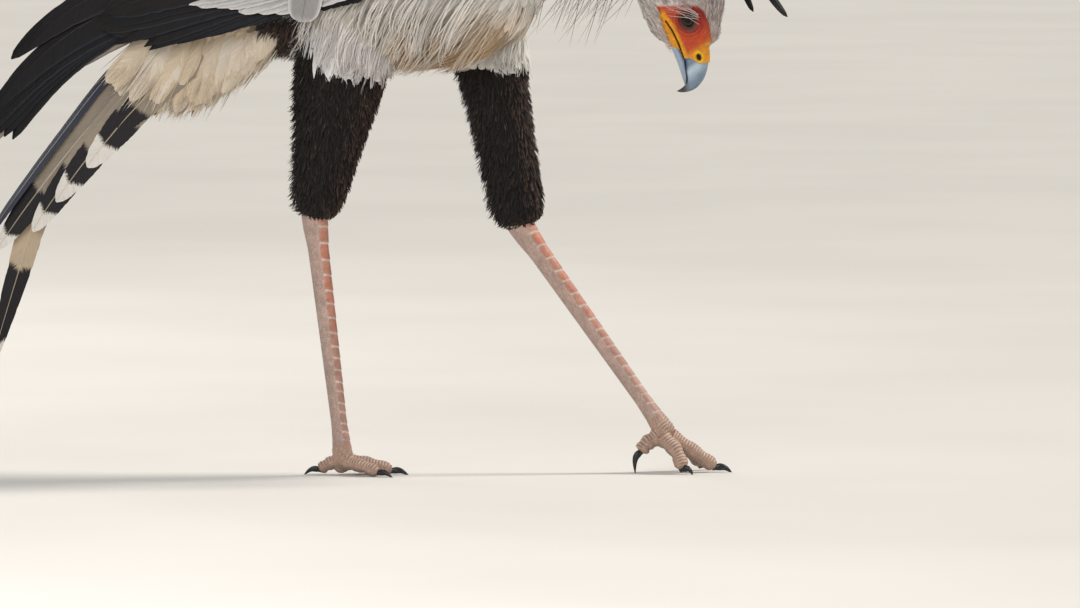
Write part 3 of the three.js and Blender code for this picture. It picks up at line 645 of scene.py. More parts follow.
def onMouth(tt, aa):  # each ring's angles pulled so that one column on each side runs along the mouth line
    look = np.linspace(0.2, 1.3, 1200)
    t2, a2 = np.meshgrid(tt[:, 0], look, indexing="ij")
    u, v = headPlace(tubeAt(neckStations, t2, a2)[0].reshape(-1, 3))
    miss = np.abs(v - np.interp(u, *mouthLine.T)).reshape(t2.shape)
    want = look[np.argmin(miss, 1)]
    column = aa[0, np.argmin(np.abs(aa[0] - mouthAngle))]
    shift = (want - column) * smooth(-60, -20, u.reshape(t2.shape).mean(1))
    facing = np.minimum(aa, math.pi - aa)
    below, above = (facing + 0.6) / (column + 0.6), (math.pi / 2 - facing) / (math.pi / 2 - column)
    return aa + np.where(aa > math.pi / 2, -1, 1) * shift[:, None] * np.clip(np.minimum(below, above), 0, 1)


def tubeGrid(stations, t, sides, grow=0.0):  # one closed body (1, rings, sides, 3) with each ring's angle
    angle = ringAngles(sides) if np.ndim(sides) == 0 else sides
    tt, aa = np.meshgrid(t, angle, indexing="ij")
    return tubeAt(stations, tt, aa, grow)[0][None], tt, aa


def gridMap(tt, aa, box):  # per corner, so that the last column of a tube runs on past its seam
    s, r = tt.shape
    u = box[0] + box[2] * (tt - tt.min()) / (tt.max() - tt.min())
    v0, v1 = (np.broadcast_to(box[1] + box[3] * (np.arange(r) + k) / r, (s - 1, r)) for k in (0, 1))
    corners = ((u[:-1], v0), (u[:-1], v1), (u[1:], v1), (u[1:], v0))
    return np.stack([np.stack(pair, -1) for pair in corners], 2).reshape(-1, 2)


# Shanks: scutes across the front, small plates elsewhere
shankForm = {
    "sections": [[-0.09, 8, 7], [-0.045, 13.5, 11], [-0.02, 15, 12], [0.04, 14.5, 11], [0.12, 12, 9], [0.3, 11.2, 8.4],
                 [0.6, 10, 7.8], [0.85, 9, 7.6], [0.95, 10.5, 9.6], [1.02, 11, 11]],
    "scutes": 19, "raised": 0.95, "rings": 250, "sides": 44,
    "skin": rgb("b18e80"), "plate": rgb("cb7f63"), "edge": rgb("ecdccf"), "back": rgb("9c8176"),
}


def shankFrame(leg):  # the heel, the way down to the joint, and the ways along, to the back and to the side
    heel, joint = np.array(leg["heel"], float), np.array(leg["joint"], float)
    along = unit(joint - heel)
    back = unit(np.cross(yAxis, along))
    return heel, joint - heel, along, back, np.cross(along, back)


def shankRings(leg, form):
    # An ellipse at each share of the shank, raised in the front by rounded scutes and elsewhere by small knobs.
    heel, down, _, back, side = shankFrame(leg)
    share = np.linspace(-0.09, 1.0, form["rings"])
    table = np.array(form["sections"])
    soft = np.ones(9) / 9
    depth, width = (np.convolve(np.pad(np.interp(share, table[:, 0], table[:, k]), 4, mode="edge"), soft, "valid")
                    for k in (1, 2))
    angle = ringAngles(form["sides"])
    borders = np.cumsum(np.r_[0, rng.uniform(0.8, 1.2, form["scutes"]) * np.linspace(1.15, 0.75, form["scutes"])])
    borders = -0.01 + 0.98 * borders / borders[-1]
    front = np.maximum(0, -np.sin(angle))[None]  # 1 on the front
    at = share[:, None] + 0.011 * np.cos(angle)[None] ** 2  # scute edges sag at the sides
    scute = np.clip(np.searchsorted(borders, at.ravel()).reshape(at.shape) - 1, 0, form["scutes"] - 1)
    within = (at - borders[scute]) / (borders[scute + 1] - borders[scute])
    inside = (at > borders[0]) & (at < borders[-1])
    uneven = rng.uniform(-0.05, 0.08, form["scutes"])[scute]
    front = np.clip(front - uneven - 0.3 * np.abs(2 * within - 1) ** 4, 0, 1)  # rounded at the sides
    steps = smooth(0, 0.06, within) * smooth(1.0, 0.93, within) * (0.35 + 0.65 * within)
    raised = form["raised"] * np.where(inside, steps, 0) * smooth(0.12, 0.42, front)
    extra = raised + 0.22 * np.sin(at * 290 / 3.2 * 2 * math.pi) * np.cos(angle * 7)[None] * smooth(0.5, 0.2, front)
    rings = (heel + down * share[:, None, None] + back * ((depth[:, None] + extra) * np.sin(angle))[..., None]
             + side * ((width[:, None] + extra) * np.cos(angle))[..., None])
    edge = np.where(inside, np.maximum(smooth(0.88, 0.95, within), 0.5 * smooth(0.06, 0.0, within)), 0)
    edge = edge * smooth(0.1, 0.3, -np.sin(angle))[None] + 0.35 * np.where(inside, hump(front, 0.12, 0.1), 0)
    warm = rng.uniform(0.5, 1.0, form["scutes"])[scute] * smooth(0.85, 0.2, share)[:, None]
    tint = washed(
        form["skin"],
        (form["back"], smooth(0.1, 0.9, np.sin(angle))[None] * np.ones_like(at)),
        (form["plate"],
         np.where(inside, smooth(0.1, 0.34, front), 0) * (0.12 + 0.8 * warm) * smooth(0.0, 0.35, within + 0.1)),
        (form["edge"], np.clip(edge * 0.75 * smooth(1.0, 0.9, share)[:, None], 0, 1)))
    return rings[None], tint, share, angle


# Feet: pad and toes grown together, then ringed with scutes on top and soft pads below
# edge is a painted highlight on the toes' scutes, and crease is painted shade between them
footForm = {"ankle": ((0.86, 9, 7.8), (0.93, 10.3, 9), (0.98, 12, 11.5), (1.02, 9, 9)), "pad": 13.0,
            "scuteStep": 3.6, "raised": 0.8, "smooth": 6, "skin": rgb("ad8770"), "edge": rgb("dcc6b7"),
            "crease": rgb("735546"), "sole": rgb("8f7566")}


def toeLine(leg, toe):  # 40 points from joint to claw, and the toe's half thickness at each
    path, claw, thick = toe
    t = np.linspace(0, 1, 40)
    sizes = np.repeat([[thick + 1.5], [thick], [thick - 0.8]], 3, 1)
    return curveAt(np.array(leg["joint"], float) + np.array(path, float), t)[0], curveAt(sizes, t)[0][:, 0]


def remeshed(parts, voxel):  # closed bodies grown into one even surface
    offset, faces = 0, []
    for p, (quads, tris) in parts:
        faces += (quads + offset).tolist() + (tris + offset).tolist()
        offset += len(p)
    mesh = bpy.data.meshes.new("draft")
    mesh.from_pydata(np.concatenate([p for p, _ in parts]).tolist(), [], faces)
    draft = bpy.data.objects.new("draft", mesh)
    scene.collection.objects.link(draft)
    grown = draft.modifiers.new("grown", "REMESH")
    grown.mode = "VOXEL"
    grown.voxel_size = voxel
    shape = draft.evaluated_get(bpy.context.evaluated_depsgraph_get()).to_mesh()
    read = []
    for items, key, wide, kind in ((shape.vertices, "co", 3, np.float32), (shape.loops, "vertex_index", 1, np.int32),
                                   (shape.edges, "vertices", 2, np.int32)):
        read.append(np.zeros(len(items) * wide, kind))
        items.foreach_get(key, read[-1])
    bpy.data.objects.remove(draft)
    bpy.data.meshes.remove(mesh)
    return read[0].reshape(-1, 3).astype(float), read[1].reshape(-1, 4), read[2].reshape(-1, 2)


def relaxed(points, edges, turns):  # each point drawn to the mean of its neighbours, then let out a little again
    count = np.bincount(edges.ravel(), minlength=len(points))[:, None]
    for k in range(2 * turns):
        total = np.zeros_like(points)
        np.add.at(total, edges[:, 0], points[edges[:, 1]])
        np.add.at(total, edges[:, 1], points[edges[:, 0]])
        points = points + (0.55 if k % 2 == 0 else -0.50) * (total / count - points)
    return points


def faceNormals(points, quads):  # at each point, the sum of its faces' normals, from their diagonals
    n = np.cross(points[quads[:, 2]] - points[quads[:, 0]], points[quads[:, 3]] - points[quads[:, 1]])
    total = np.zeros_like(points)
    for k in range(4):
        np.add.at(total, quads[:, k], n)
    return unit(total)


def ball(centre, radii, rings=18, sides=24):  # an ellipsoid
    tt, aa = np.meshgrid(np.linspace(0.02, math.pi - 0.02, rings), ringAngles(sides), indexing="ij")
    shape = np.stack([np.sin(tt) * np.cos(aa), np.sin(tt) * np.sin(aa), np.cos(tt)], -1) * np.array(radii)
    return loft((np.array(centre, float) + shape)[None])


def toeBody(points, sizes):  # rings along one toe, with knuckles and a rounded end
    angle, share = ringAngles(20), np.linspace(0, 1, len(points))
    along = unit(np.gradient(points, axis=0))
    side = unit(np.cross(along, zAxis))
    up = np.cross(side, along)
    knuckles = 1 + 0.09 * np.cos(share * 2 * math.pi * 2.5)
    close = np.sqrt(np.clip(1 - (np.maximum(0, share - 0.86) / 0.145) ** 2, 0.02, 1))
    r = (sizes * knuckles * close)[:, None, None]
    return loft((points[:, None] + r * (up[:, None] * np.sin(angle)[None, :, None] * 0.94
                                        + side[:, None] * np.cos(angle)[None, :, None]))[None])


def footShape(leg, form):
    # Pad, heel, ankle and toes remeshed as one, then scutes by the way along the nearest toe, with soft pads below.
    heel, down = shankFrame(leg)[:2]
    joint = np.array(leg["joint"], float)
    ankle = np.array([[*(heel + down * s), h, w] for s, h, w in form["ankle"]])
    lines = [toeLine(leg, toe) for toe in leg["toes"].values()]
    parts = [ball(joint, [form["pad"], form["pad"], form["pad"] - 1]),
             ball(joint + np.array([-2, -3 * leg["y"], -8]), [10, 9, 9]),
             loft(tubeGrid(ankle, np.linspace(0, 1, 16), 24)[0])] + [toeBody(*line) for line in lines]
    points, quads, edges = remeshed(parts, skinForm["footVoxel"])
    points = relaxed(points, edges, form["smooth"])
    normals = faceNormals(points, quads)
    # nearest toe, how far along it, and whether the point is on its top
    count = len(points)
    best, along, top, which = np.full(count, 1e9), np.zeros(count), np.zeros(count), np.zeros(count, int)
    for k, (line, sizes) in enumerate(lines):
        away = np.linalg.norm(points[:, None] - line[None], axis=2)
        i = np.argmin(away / sizes[None], 1)
        direction = unit(np.gradient(line, axis=0))[i]
        d = away[np.arange(count), i] / sizes[i]
        nearer = d < best
        up = np.cross(unit(np.cross(direction, zAxis)), direction)
        best, along, top, which = (np.where(nearer, new, old) for new, old in (
            (d, best), (walkedAlong(line)[i] + dot(points - line[i], direction), along), (dot(normals, up), top),
            (k, which)))
    phase = along / form["scuteStep"] + which * 0.37
    within = phase - np.floor(phase)
    onTop = smooth(0.15, 0.6, top)
    steps = smooth(0, 0.25, within) * smooth(1.0, 0.8, within)
    under = 0.5 * np.abs(np.sin(along / 9 * math.pi)) * smooth(-0.2, -0.7, top)
    points = points + normals * (form["raised"] * (steps - 0.4) * onTop + under)[:, None]
    points[:, 2] = np.maximum(points[:, 2], 0.02)
    # painted highlight on each top scute's raised part, and painted shade in the creases between scutes
    tint = washed(
        form["skin"], (form["sole"], smooth(-0.1, -0.6, top)),
        (form["edge"], 0.7 * onTop * smooth(0.35, 0.75, within) * smooth(0.95, 0.8, within)),
        (form["crease"], 0.9 * onTop * (1 - steps)))
    uv = np.stack([0.02 + 0.2 * which + 0.0022 * np.clip(along, 0, 80), 0.5 + 0.45 * top], -1)
    return points, quads, tint, uv, 0.75 * onTop


def makeFaceMaterial():  # pores and creases over the stored tint, redder in spots
    w = Wiring("face skin")
    pores = w.node("ShaderNodeTexVoronoi", {"Vector": w.place(), "Scale": 950.0}, feature="DISTANCE_TO_EDGE")
    creases = w.noise(w.place(), 420.0, 4.0, Roughness=0.7)
    colour = w.blend(w.ramp(creases, 0.62, 0.75, (0.0, 0.35)), w.shaded(w.uneven(160.0, 0.78, 1.08)), rgb("8c2a17"))
    height = w.math("ADD", w.ramp(pores.outputs["Distance"], 0.0, 0.18), w.math("MULTIPLY", creases, 0.8))
    return w.end(colour, w.ramp(creases, 0.3, 0.7, (0.36, 0.55)), (0.35, 0.0004, height), {
        "Subsurface Weight": 0.12, "Subsurface Radius": (0.004, 0.0015, 0.0008), "Subsurface Scale": 1.0})


def makeLegMaterial():  # small plates with pale borders where there are no scutes, and dust over all
    w = Wiring("leg skin")
    flat = {"Vector": w.place(), "Scale": (1.0, 1.0, 0.8)}
    squashed = w.node("ShaderNodeMapping", flat, vector_type="POINT").outputs[0]
    cells, cellTone = (
        w.node("ShaderNodeTexVoronoi", {"Vector": squashed, "Scale": 560.0, "Randomness": 0.75},
               feature=feature).outputs
        for feature in ("DISTANCE_TO_EDGE", "F1"))
    plain = w.attribute("scute")
    border = w.math("MULTIPLY", w.ramp(cells["Distance"], 0.02, 0.14, (1.0, 0.0)), w.math("SUBTRACT", 1.0, plain))
    tone = w.node("ShaderNodeSeparateColor", {0: cellTone["Color"]}).outputs[0]
    shade = w.math("MULTIPLY", w.uneven(90.0, 0.8, 1.08), w.ramp(tone, 0.0, 1.0, (0.88, 1.1), "LINEAR"))
    colour = w.blend(w.math("MULTIPLY", border, 0.38), w.shaded(shade), rgb("e2d2c6"))
    dust = w.noise(w.place(), 60.0, 5.0, Roughness=0.75)
    colour = w.blend(w.ramp(dust, 0.55, 0.8, (0.0, 0.35)), colour, rgb("cdb9a6"))
    plates = w.math("MULTIPLY", w.ramp(cells["Distance"], 0.0, 0.16),
                    w.math("SUBTRACT", 1.0, w.math("MULTIPLY", plain, 0.85)))
    height = w.math("ADD", plates, w.math("MULTIPLY", dust, 0.35))
    return w.end(colour, w.ramp(dust, 0.35, 0.7, (0.48, 0.7)), (0.6, 0.0005, height))


def makeUnderMaterial():  # the hidden skin, near the colour of the down above it
    w = Wiring("under coat")
    return w.end(w.shaded(w.uneven(60.0, 0.7, 1.0)), 0.9)


# The coat's colours by place, shared by skin and feathers. The shade and cream tints are painted warm shade on white
# feathers, and the cool white is white with painted cool skylight.
coatTint = {key: rgb(text) for key, text in {
    "white": "f5f1ea", "shade": "cba97f", "skylitWhite": "f6f6f8", "cream": "d3bea1", "grey": "a6a3a3", "paleGrey": "e6ded9",
    "black": "17120f", "brown": "563d32", "vent": "231b19"}.items()}


def trunkColour(points):  # white, with painted warm shade on the belly and under the tail, grey back, dark vent and black rump
    x, y, z = points.T
    return washed(
        coatTint["white"], (coatTint["shade"], 0.95 * smooth(600, 512, z) * smooth(-105, -15, x)),
        (coatTint["grey"], smooth(640, 672, z) * smooth(-300, -100, x)),
        (coatTint["cream"], smooth(-120, -150, x) * smooth(600, 560, z)),
        (coatTint["vent"], smooth(-165, -152, x) * smooth(-84, -98, x) * smooth(596, 575, z)),
        (coatTint["black"], smooth(-60, -130, x) * smooth(-262, -240, x) * smooth(575, 605, z + 0.22 * (x + 160))))


def neckColour(points):  # pale grey, white at breast and throat, grey towards the back and on the nape
    u, v = headPlace(points)
    x, y, z = points.T
    return washed(
        coatTint["paleGrey"], (coatTint["white"], smooth(200, 130, x) * smooth(680, 620, z)),
        (coatTint["white"], smooth(-10, -40, v) * smooth(-90, -30, u) * 0.8),
        (coatTint["grey"], smooth(165, 80, x) * smooth(625, 675, z)),
        (coatTint["grey"], smooth(270, 300, x) * smooth(-50, -75, u) * smooth(2, 20, v)))


def makeSkin(form):
    # All bodies under the coats as one piece. Kinds, which are its materials: 0 under the coat, 1 face, 2 bare leg.
    parts, size = [], 0

    def add(body, tint, scute, kind, box, place):  # place: the rings' t and angle, or a map of the faces' corners
        nonlocal size
        points, (quads, tris) = body
        parts.append([
            points, quads + size, tris + size, tint, np.broadcast_to(scute, len(points)),
            gridMap(*place, box) if isinstance(place, tuple) else place,
            np.broadcast_to(np.array(box[:2]), (len(tris) * 3, 2)), np.broadcast_to(kind, len(quads)),
            np.full(len(tris), np.max(kind))])
        size += len(points)

    # trunk
    steps = np.r_[np.linspace(0, 0.08, 8), np.linspace(0.1, 1, 56)]
    rings, *place = tubeGrid(trunkStations, steps, 72, -form["trunkIn"])
    body = loft(rings)
    add(body, trunkColour(body[0]), 0.0, 0, (0.01, 0.62, 0.98, 0.36), tuple(place))
    # neck and head, finer from the nape to the bill
    t = np.r_[np.linspace(0, faceFrom * 0.94, 52)[:-1], np.linspace(faceFrom * 0.94, 1, 176)]
    _, tt, aa = tubeGrid(neckStations, t, closeAngles(form["headSides"]))
    aa = onMouth(tt, aa)
    flat = tubeAt(neckStations, tt, aa)[0].reshape(-1, 3)
    points, faces = loft(tubeAt(neckStations, tt, aa, headGrow(flat).reshape(tt.shape))[0][None])
    shaped = faceShape(points)
    isFace = insideLine(faceLine, *headPlace(shaped)) > -4
    add((shaped, faces), np.where(isFace[:, None], faceColour(shaped), neckColour(shaped)), 0.0,
        np.where(isFace[faces[0]].any(1), 1, 0), (0.01, 0.3, 0.98, 0.3), (tt, aa))
    # legs
    for i, leg in enumerate(legs.values()):
        low = 0.01 + 0.145 * i
        rings, *place = tubeGrid(leg["stations"], np.linspace(0, 0.985, 40), 40, -form["tibiaIn"])
        body = loft(rings)
        add(body, np.broadcast_to(coatTint["black"], body[0].shape), 0.0, 0, (0.01, low, 0.3, 0.06), tuple(place))
        rings, tint, share, angle = shankRings(leg, shankForm)
        tt, aa = np.meshgrid(share, angle, indexing="ij")
        front = smooth(0.15, 0.35, np.maximum(0, -np.sin(aa))) * smooth(0.02, 0.06, tt)
        add(loft(rings), tint.reshape(-1, 3), front.ravel(), 2, (0.32, low, 0.66, 0.06), (tt, aa))
        points, quads, tint, uv, scute = footShape(leg, footForm)
        add((points, (quads, np.zeros((0, 3), int))), tint, scute, 2, (0.01, low),
            (np.array([0.01, low + 0.07]) + uv * np.array([0.98, 0.06]))[quads.ravel()])
    points, quads, tris, tints, scutes, maps, triMaps, kinds, triKinds = map(np.concatenate, zip(*parts))
    piece = putMesh(
        "skin", points, [quads, tris], [makeUnderMaterial(), makeFaceMaterial(), makeLegMaterial()],
        {"OFBake": np.concatenate([maps, triMaps])}, tints, {"scute": scutes}, 75, np.concatenate([kinds, triKinds]))
    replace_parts(piece, "torso", "neck_lower", "neck_upper", "head", "tibia_left", "tibia_right", "tarsus_left",
                "tarsus_right", "foot_left", "foot_right")
    print(f"  skin: {2 * len(quads) + len(tris)} triangles")


print("skin")
makeSkin(skinForm)

# Bill: hooked upper half and the lower half behind it, each lofted through a few sections
billForm = {
    "upper": [[43, 10.8, 36, -16.8, 10.6], [46, 10.2, 38, -17.6, 11.2], [54.5, 7.1, 45, -18.6, 11.7],
              [64, 1.6, 55, -21.1, 9.8], [72, -5.5, 63, -22.2, 7.8], [78, -16, 68.5, -24.5, 5.8],
              [79, -25.5, 71.5, -29.5, 3.8], [77.3, -33.5, 73.2, -34, 2], [74.4, -38.6, 74, -38, 0.3]],
    "lower": [[12, -20, -27, 10], [24, -18.6, -28.8, 11.6], [30, -18.2, -28.5, 11.2], [42, -18, -27.6, 10.4],
              [52, -19.6, -27.4, 8.8], [61, -21.0, -27.4, 6.8], [68, -22.8, -27.2, 4.2], [71, -24.6, -27, 0.8]],
    "base": rgb("e39500"), "horn": rgb("75889c"), "pale": rgb("b3c2cf"), "tip": rgb("3d322c"),
}


def billBodies(form):
    # Upper: each ring from its ridge to its edge, with a groove. Lower: an oval between top and bottom.
    angle = ringAngles(56)
    t = np.linspace(0, 1, 72) ** 0.9
    ru, rv, eu, ev, half = curveAt(np.array(form["upper"], float), t)[0].T[..., None]
    rise = (1 + np.sin(angle)) / 2
    rise = mix(rise, rise ** 0.85, 0.5)
    taper = np.sign(np.cos(angle)) * np.abs(np.cos(angle)) ** 0.8 * (1 - 0.42 * np.maximum(0, np.sin(angle)) ** 1.5)
    groove = 1 - 0.035 * hump(angle, 5.6, 0.25) - 0.035 * hump(angle, 3.82, 0.25)
    upper = onHead(mix(eu, ru, rise), mix(ev, rv, rise), taper * groove * half)
    u, top, bottom, half = curveAt(np.array(form["lower"], float), t)[0].T[..., None]
    tall = (top - bottom) / 2 * np.sign(np.sin(angle)) * np.abs(np.sin(angle)) ** 0.8
    return upper[None], onHead(u + 0 * angle, (top + bottom) / 2 + tall, half * np.cos(angle))[None], t


def makeBillMaterial():  # smooth horn with a fine grain
    w = Wiring("bill horn")
    grain = w.noise(w.place(), 500.0, 4.0, Roughness=0.7)
    return w.end(w.shaded(w.uneven(120.0, 0.88, 1.06)), w.ramp(grain, 0.3, 0.75, (0.22, 0.42)), (0.15, 0.0003, grain))


def makeBill(form):
    # Both halves: horn with a painted highlight behind the nostril, the cere's gold at the root, a dark tip, painted
    # shade in the nostril, and painted shade along the lip below, under the upper half's edge.
    material = makeBillMaterial()
    upper, lower, t = billBodies(form)
    for name, rings, node in (("bill_hook", upper, "bill_upper"), ("bill_under", lower, "bill_lower")):
        points, faces = loft(rings)
        u, v = headPlace(points)
        base = (form["base"], smooth(0.8, -0.5, u - hornFrom(v)))
        if node == "bill_upper":
            tint = washed(
                form["horn"], (form["pale"], smooth(64, 50, u + 0.4 * v) * smooth(42, 50, u + 0.4 * v)), base,
                (faceTint["dark"], smooth(1.3, 1.0, inNostril(u, v))),
                (form["tip"], np.maximum(smooth(-20, -31, v), 0.6 * smooth(73, 80, u))))
        else:
            lip = np.interp(u, [24, 42, 52, 61, 68], [-18.6, -18, -19.9, -21.7, -24])
            tint = washed(
                mix(form["horn"], form["pale"], 0.45), base, (form["tip"], smooth(60, 70, u) * 0.5),
                (faceTint["dark"], smooth(1.5, 0.6, lip - v)))
        sides = rings.shape[2]
        uv = np.stack([np.repeat(t, sides) * 0.96 + 0.02, np.tile(np.linspace(0.02, 0.98, sides), len(t))], -1)
        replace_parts(putMesh(name, points, faces, [material], {"OFBake": uv}, tint, sharp=70), node)


# Eyes: a dark pupil and brown iris under a wet coat, between grey lids
eyeForm = {"radius": 10.0, "y": 15.5, "pupil": 5.0, "iris": 7.8, "open": (8.9, 6.9), "lid": rgb("3b2a26"),
           "lidRed": rgb("8f2a14"), "rim": [  # from the socket's skin in over the eyeball: size, and height over it
               [1.95, -1.6], [1.82, -0.1], [1.68, 0.5], [1.56, 0.7], [1.46, 0.35], [1.38, 0.8], [1.28, 0.7], [1.2, 0.3],
               [1.12, 0.9], [1.06, 1.1], [1.0, 0.8], [0.97, 0.2], [1.0, -0.8], [1.3, -5], [1.8, -6]]}


def faceSide(u, v):  # how far out the bare face lies at u, v
    table = np.array(headOnly, float)
    middle, high, wide = (np.interp(u, table[:, 0], table[:, k]) for k in (1, 2, 3))
    y = wide * np.sqrt(np.maximum(0, 1 - ((v - middle) / high) ** 2))
    return faceShape(onHead(u, v, y).reshape(-1, 3))[:, 1].reshape(u.shape)


def makeEyeMaterial(form):  # black pupil, brown spoked iris and a dark rim, by the distance from the pupil's middle
    w = Wiring("eye")
    away, spokes = w.attribute("fromPupil"), w.noise(w.place(), 700.0, 3.0)
    iris = w.blend(w.ramp(spokes, 0.3, 0.7), rgb("20120b"), rgb("4e3322"))
    colour = w.blend(w.ramp(away, form["pupil"] - 0.4, form["pupil"] + 0.4), rgb("020202"), iris)
    colour = w.blend(w.ramp(away, form["iris"] - 0.9, form["iris"]), colour, rgb("1a1210"))
    return w.end(colour, w.ramp(spokes, 0.3, 0.7, (0.08, 0.16)), None, {
        "Coat Weight": 0.1, "Specular IOR Level": 0.16, "Coat Roughness": 0.03})


def makeEyeball(name, s, form, material):  # a ball that bulges a little at the cornea, its pole outwards
    t = np.r_[np.linspace(0.02, 1.2, 40), np.linspace(1.25, 3.12, 16)]
    tt, aa = np.meshgrid(t, ringAngles(56), indexing="ij")
    shape = (s * yAxis * (np.cos(tt) * (1 + 0.05 * hump(tt, 0, 0.55)))[..., None]
             + towardsBill * (np.sin(tt) * np.cos(aa))[..., None]
             + towardsCrown * (np.sin(tt) * np.sin(aa))[..., None]) * form["radius"]
    points, faces = loft((onHead(eyeShift, 0, s * form["y"]) + shape)[None])
    uv = np.stack([0.5 + 0.48 * np.sin(tt / 2) * way(aa) for way in (np.cos, np.sin)], -1).reshape(-1, 2)
    piece = putMesh(f"eyeball_{name}", points, faces, [material], {"OFBake": uv},
                    values={"fromPupil": (form["radius"] * tt).ravel()}, sharp=80)
    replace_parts(piece, f"eye_{name}")


def makeLids(name, s, form):  # a padded rim from the skin of the socket in to the eyeball, and a little way under it
    around, rim = ringAngles(96), np.array(form["rim"])
    grow, high = rim.T[..., None]
    squint = 1 - 0.12 * np.maximum(0, np.sin(around - 0.3)) ** 2
    u = form["open"][0] * grow * np.cos(around) * (1 + 0.06 * np.cos(2 * around))
    v = form["open"][1] * grow * np.sin(around) * squint
    eyeSide = form["y"] + np.sqrt(10.2 ** 2 - np.minimum(u ** 2 + v ** 2, 80))
    y = mix(eyeSide, np.maximum(faceSide(u + eyeShift, v), eyeSide - 3), smooth(1.02, 1.7, grow))
    y = y + high * (0.85 + 0.15 * np.sin(around * 13 + grow * 9))
    points, faces = loft(np.swapaxes(onHead(u + eyeShift, v, s * y)[None], 1, 2), capped=False)
    share = np.tile(np.clip((rim[:, 0] - 1) / 0.7, 0, 1), len(around))
    tint = washed(form["lid"], (form["lidRed"], smooth(0.2, 0.9, share)))
    uv = np.stack([np.repeat(np.arange(96) / 96, len(rim)), np.tile(np.linspace(0.02, 0.98, len(rim)), 96)], -1)
    putMesh(f"lids_{name}", points, faces, [bpy.data.materials["face skin"]], {"OFBake": uv * 0.96 + 0.02},
            tint, sharp=80)


def makeEyes(form):  # an eyeball and its lids on each side
    material = makeEyeMaterial(form)
    for name, s in (("left", 1), ("right", -1)):
        makeEyeball(name, s, form, material)
        makeLids(name, s, form)


# Claws: tapering hooks that leave the toe's end square
clawTint = {"horn": rgb("15181c"), "root": rgb("4b4744")}


def makeClawMaterial():  # dark horn, paler at the root
    w = Wiring("claw horn")
    grain = w.noise(w.place(), 700.0, 4.0)
    colour = w.blend(w.ramp(w.mottle(200.0), 0.3, 0.9, (0.0, 0.5)), clawTint["horn"], rgb("2c323a"))
    colour = w.blend(w.ramp(w.attribute("reach"), 0.0, 0.2, (0.6, 0.0)), colour, clawTint["root"])
    return w.end(colour, w.ramp(grain, 0.3, 0.7, (0.22, 0.45)), (0.25, 0.0003, grain))


def clawRings(joint, path, claw, thick):  # rings that taper along a curve from inside the toe over the bend to the tip
    t = np.linspace(0, 1, 30)
    s, a = t[:, None], ringAngles(20)
    root = joint + np.array(path[2], float)
    bend, tip = root + np.array(claw[0], float), root + np.array(claw[1], float)
    sunk = root - unit(bend - root) * 4.5
    line = (1 - s) ** 3 * sunk + 3 * s * (1 - s) ** 2 * mix(root, bend, 0.8) + 3 * s ** 2 * (1 - s) * mix(
        bend, tip, 0.25) + s ** 3 * tip
    side = unit(np.cross(bend - root, tip - bend) + 1e-6) * np.ones((len(s), 1))
    up = np.cross(side, unit(np.gradient(line, axis=0)))
    taper = ((1 - t ** 1.7) ** 0.85 * 0.97 + 0.03) * mix(0.6, 1, smooth(0, 0.35, t))
    high, wide = thick * 0.6 * taper, thick * 0.46 * taper
    flat = 1 - 0.18 * np.maximum(0, -np.sin(a))
    return (line[:, None] + up[:, None] * (high[:, None] * np.sin(a) * flat)[..., None]
            + side[:, None] * (wide[:, None] * np.cos(a))[..., None])


def makeClaws():  # the four claws of each foot as one piece
    material = makeClawMaterial()
    for name, leg in legs.items():
        rings = np.array([clawRings(np.array(leg["joint"], float), *toe) for toe in leg["toes"].values()])
        points, faces = loft(rings)
        points[:, 2] = np.maximum(points[:, 2], 0.02)
        count, steps, r = rings.shape[:3]
        reach = np.broadcast_to(np.linspace(0, 1, steps)[None, :, None], (count, steps, r)).reshape(-1)
        uv = np.stack([reach * 0.2 + np.repeat(np.arange(count), steps * r) * 0.25 + 0.02,
                       np.tile(np.linspace(0.02, 0.98, r), count * steps)], -1)
        piece = putMesh(f"claws_{name}", points, faces, [material], {"OFBake": uv},
                        values={"reach": reach}, sharp=80)
        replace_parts(piece, *(f"claw_{toe}_{name}" for toe in leg["toes"]))


print("bill, eyes and claws")
makeBill(billForm)
makeEyes(eyeForm)
makeClaws()


def toned(tint, low=0.86, high=1.08):  # each feather a little lighter or darker than its place
    return np.clip(tint * rng.uniform(low, high, (len(tint), 1)), 0, 1)


def softBatch(bunch, stations, t, angle, length, width, lie, form, tint, tipTint=None):
    # a batch of downy feathers that walk over a tube from the skin up to the coat's outer face
    count, rings = len(t), form["rings"]
    shaft, out = layOn(stations, t, angle, length, lie, form["low"], form["high"], rings, form["power"])
    s = np.linspace(0, 1, rings)
    lifted = (rng.uniform(*form["loose"], count) + form.get("lift", 0))[:, None] * s[None] ** 2
    shaft = shaft + out * lifted[..., None]
    if form["clump"]:
        shaft, lock = clumped(shaft, form["clump"], form["pull"])
        tone = rng.uniform(*form["lockTone"], count)[lock][:, None]  # strands of one lock share a tone
        tint, tipTint = np.clip(tint * tone, 0, 1), np.clip(tipTint * tone, 0, 1)
    half = width[:, None] / 2 * vaneOutline(s, form["blunt"], form["quill"])[None]
    half = np.maximum(half * frayed((count, rings), form["fray"], rings), 0.12)
    rolls = rng.normal(0, form["rollSpread"], count)
    at = vanes(shaft, out, half, softSection, {**form, "roll": rolls})
    bunch.add(at, softSection, length, half, patchOn(t, angle), rng.random(count), tint, tipTint, form["tipFrom"])


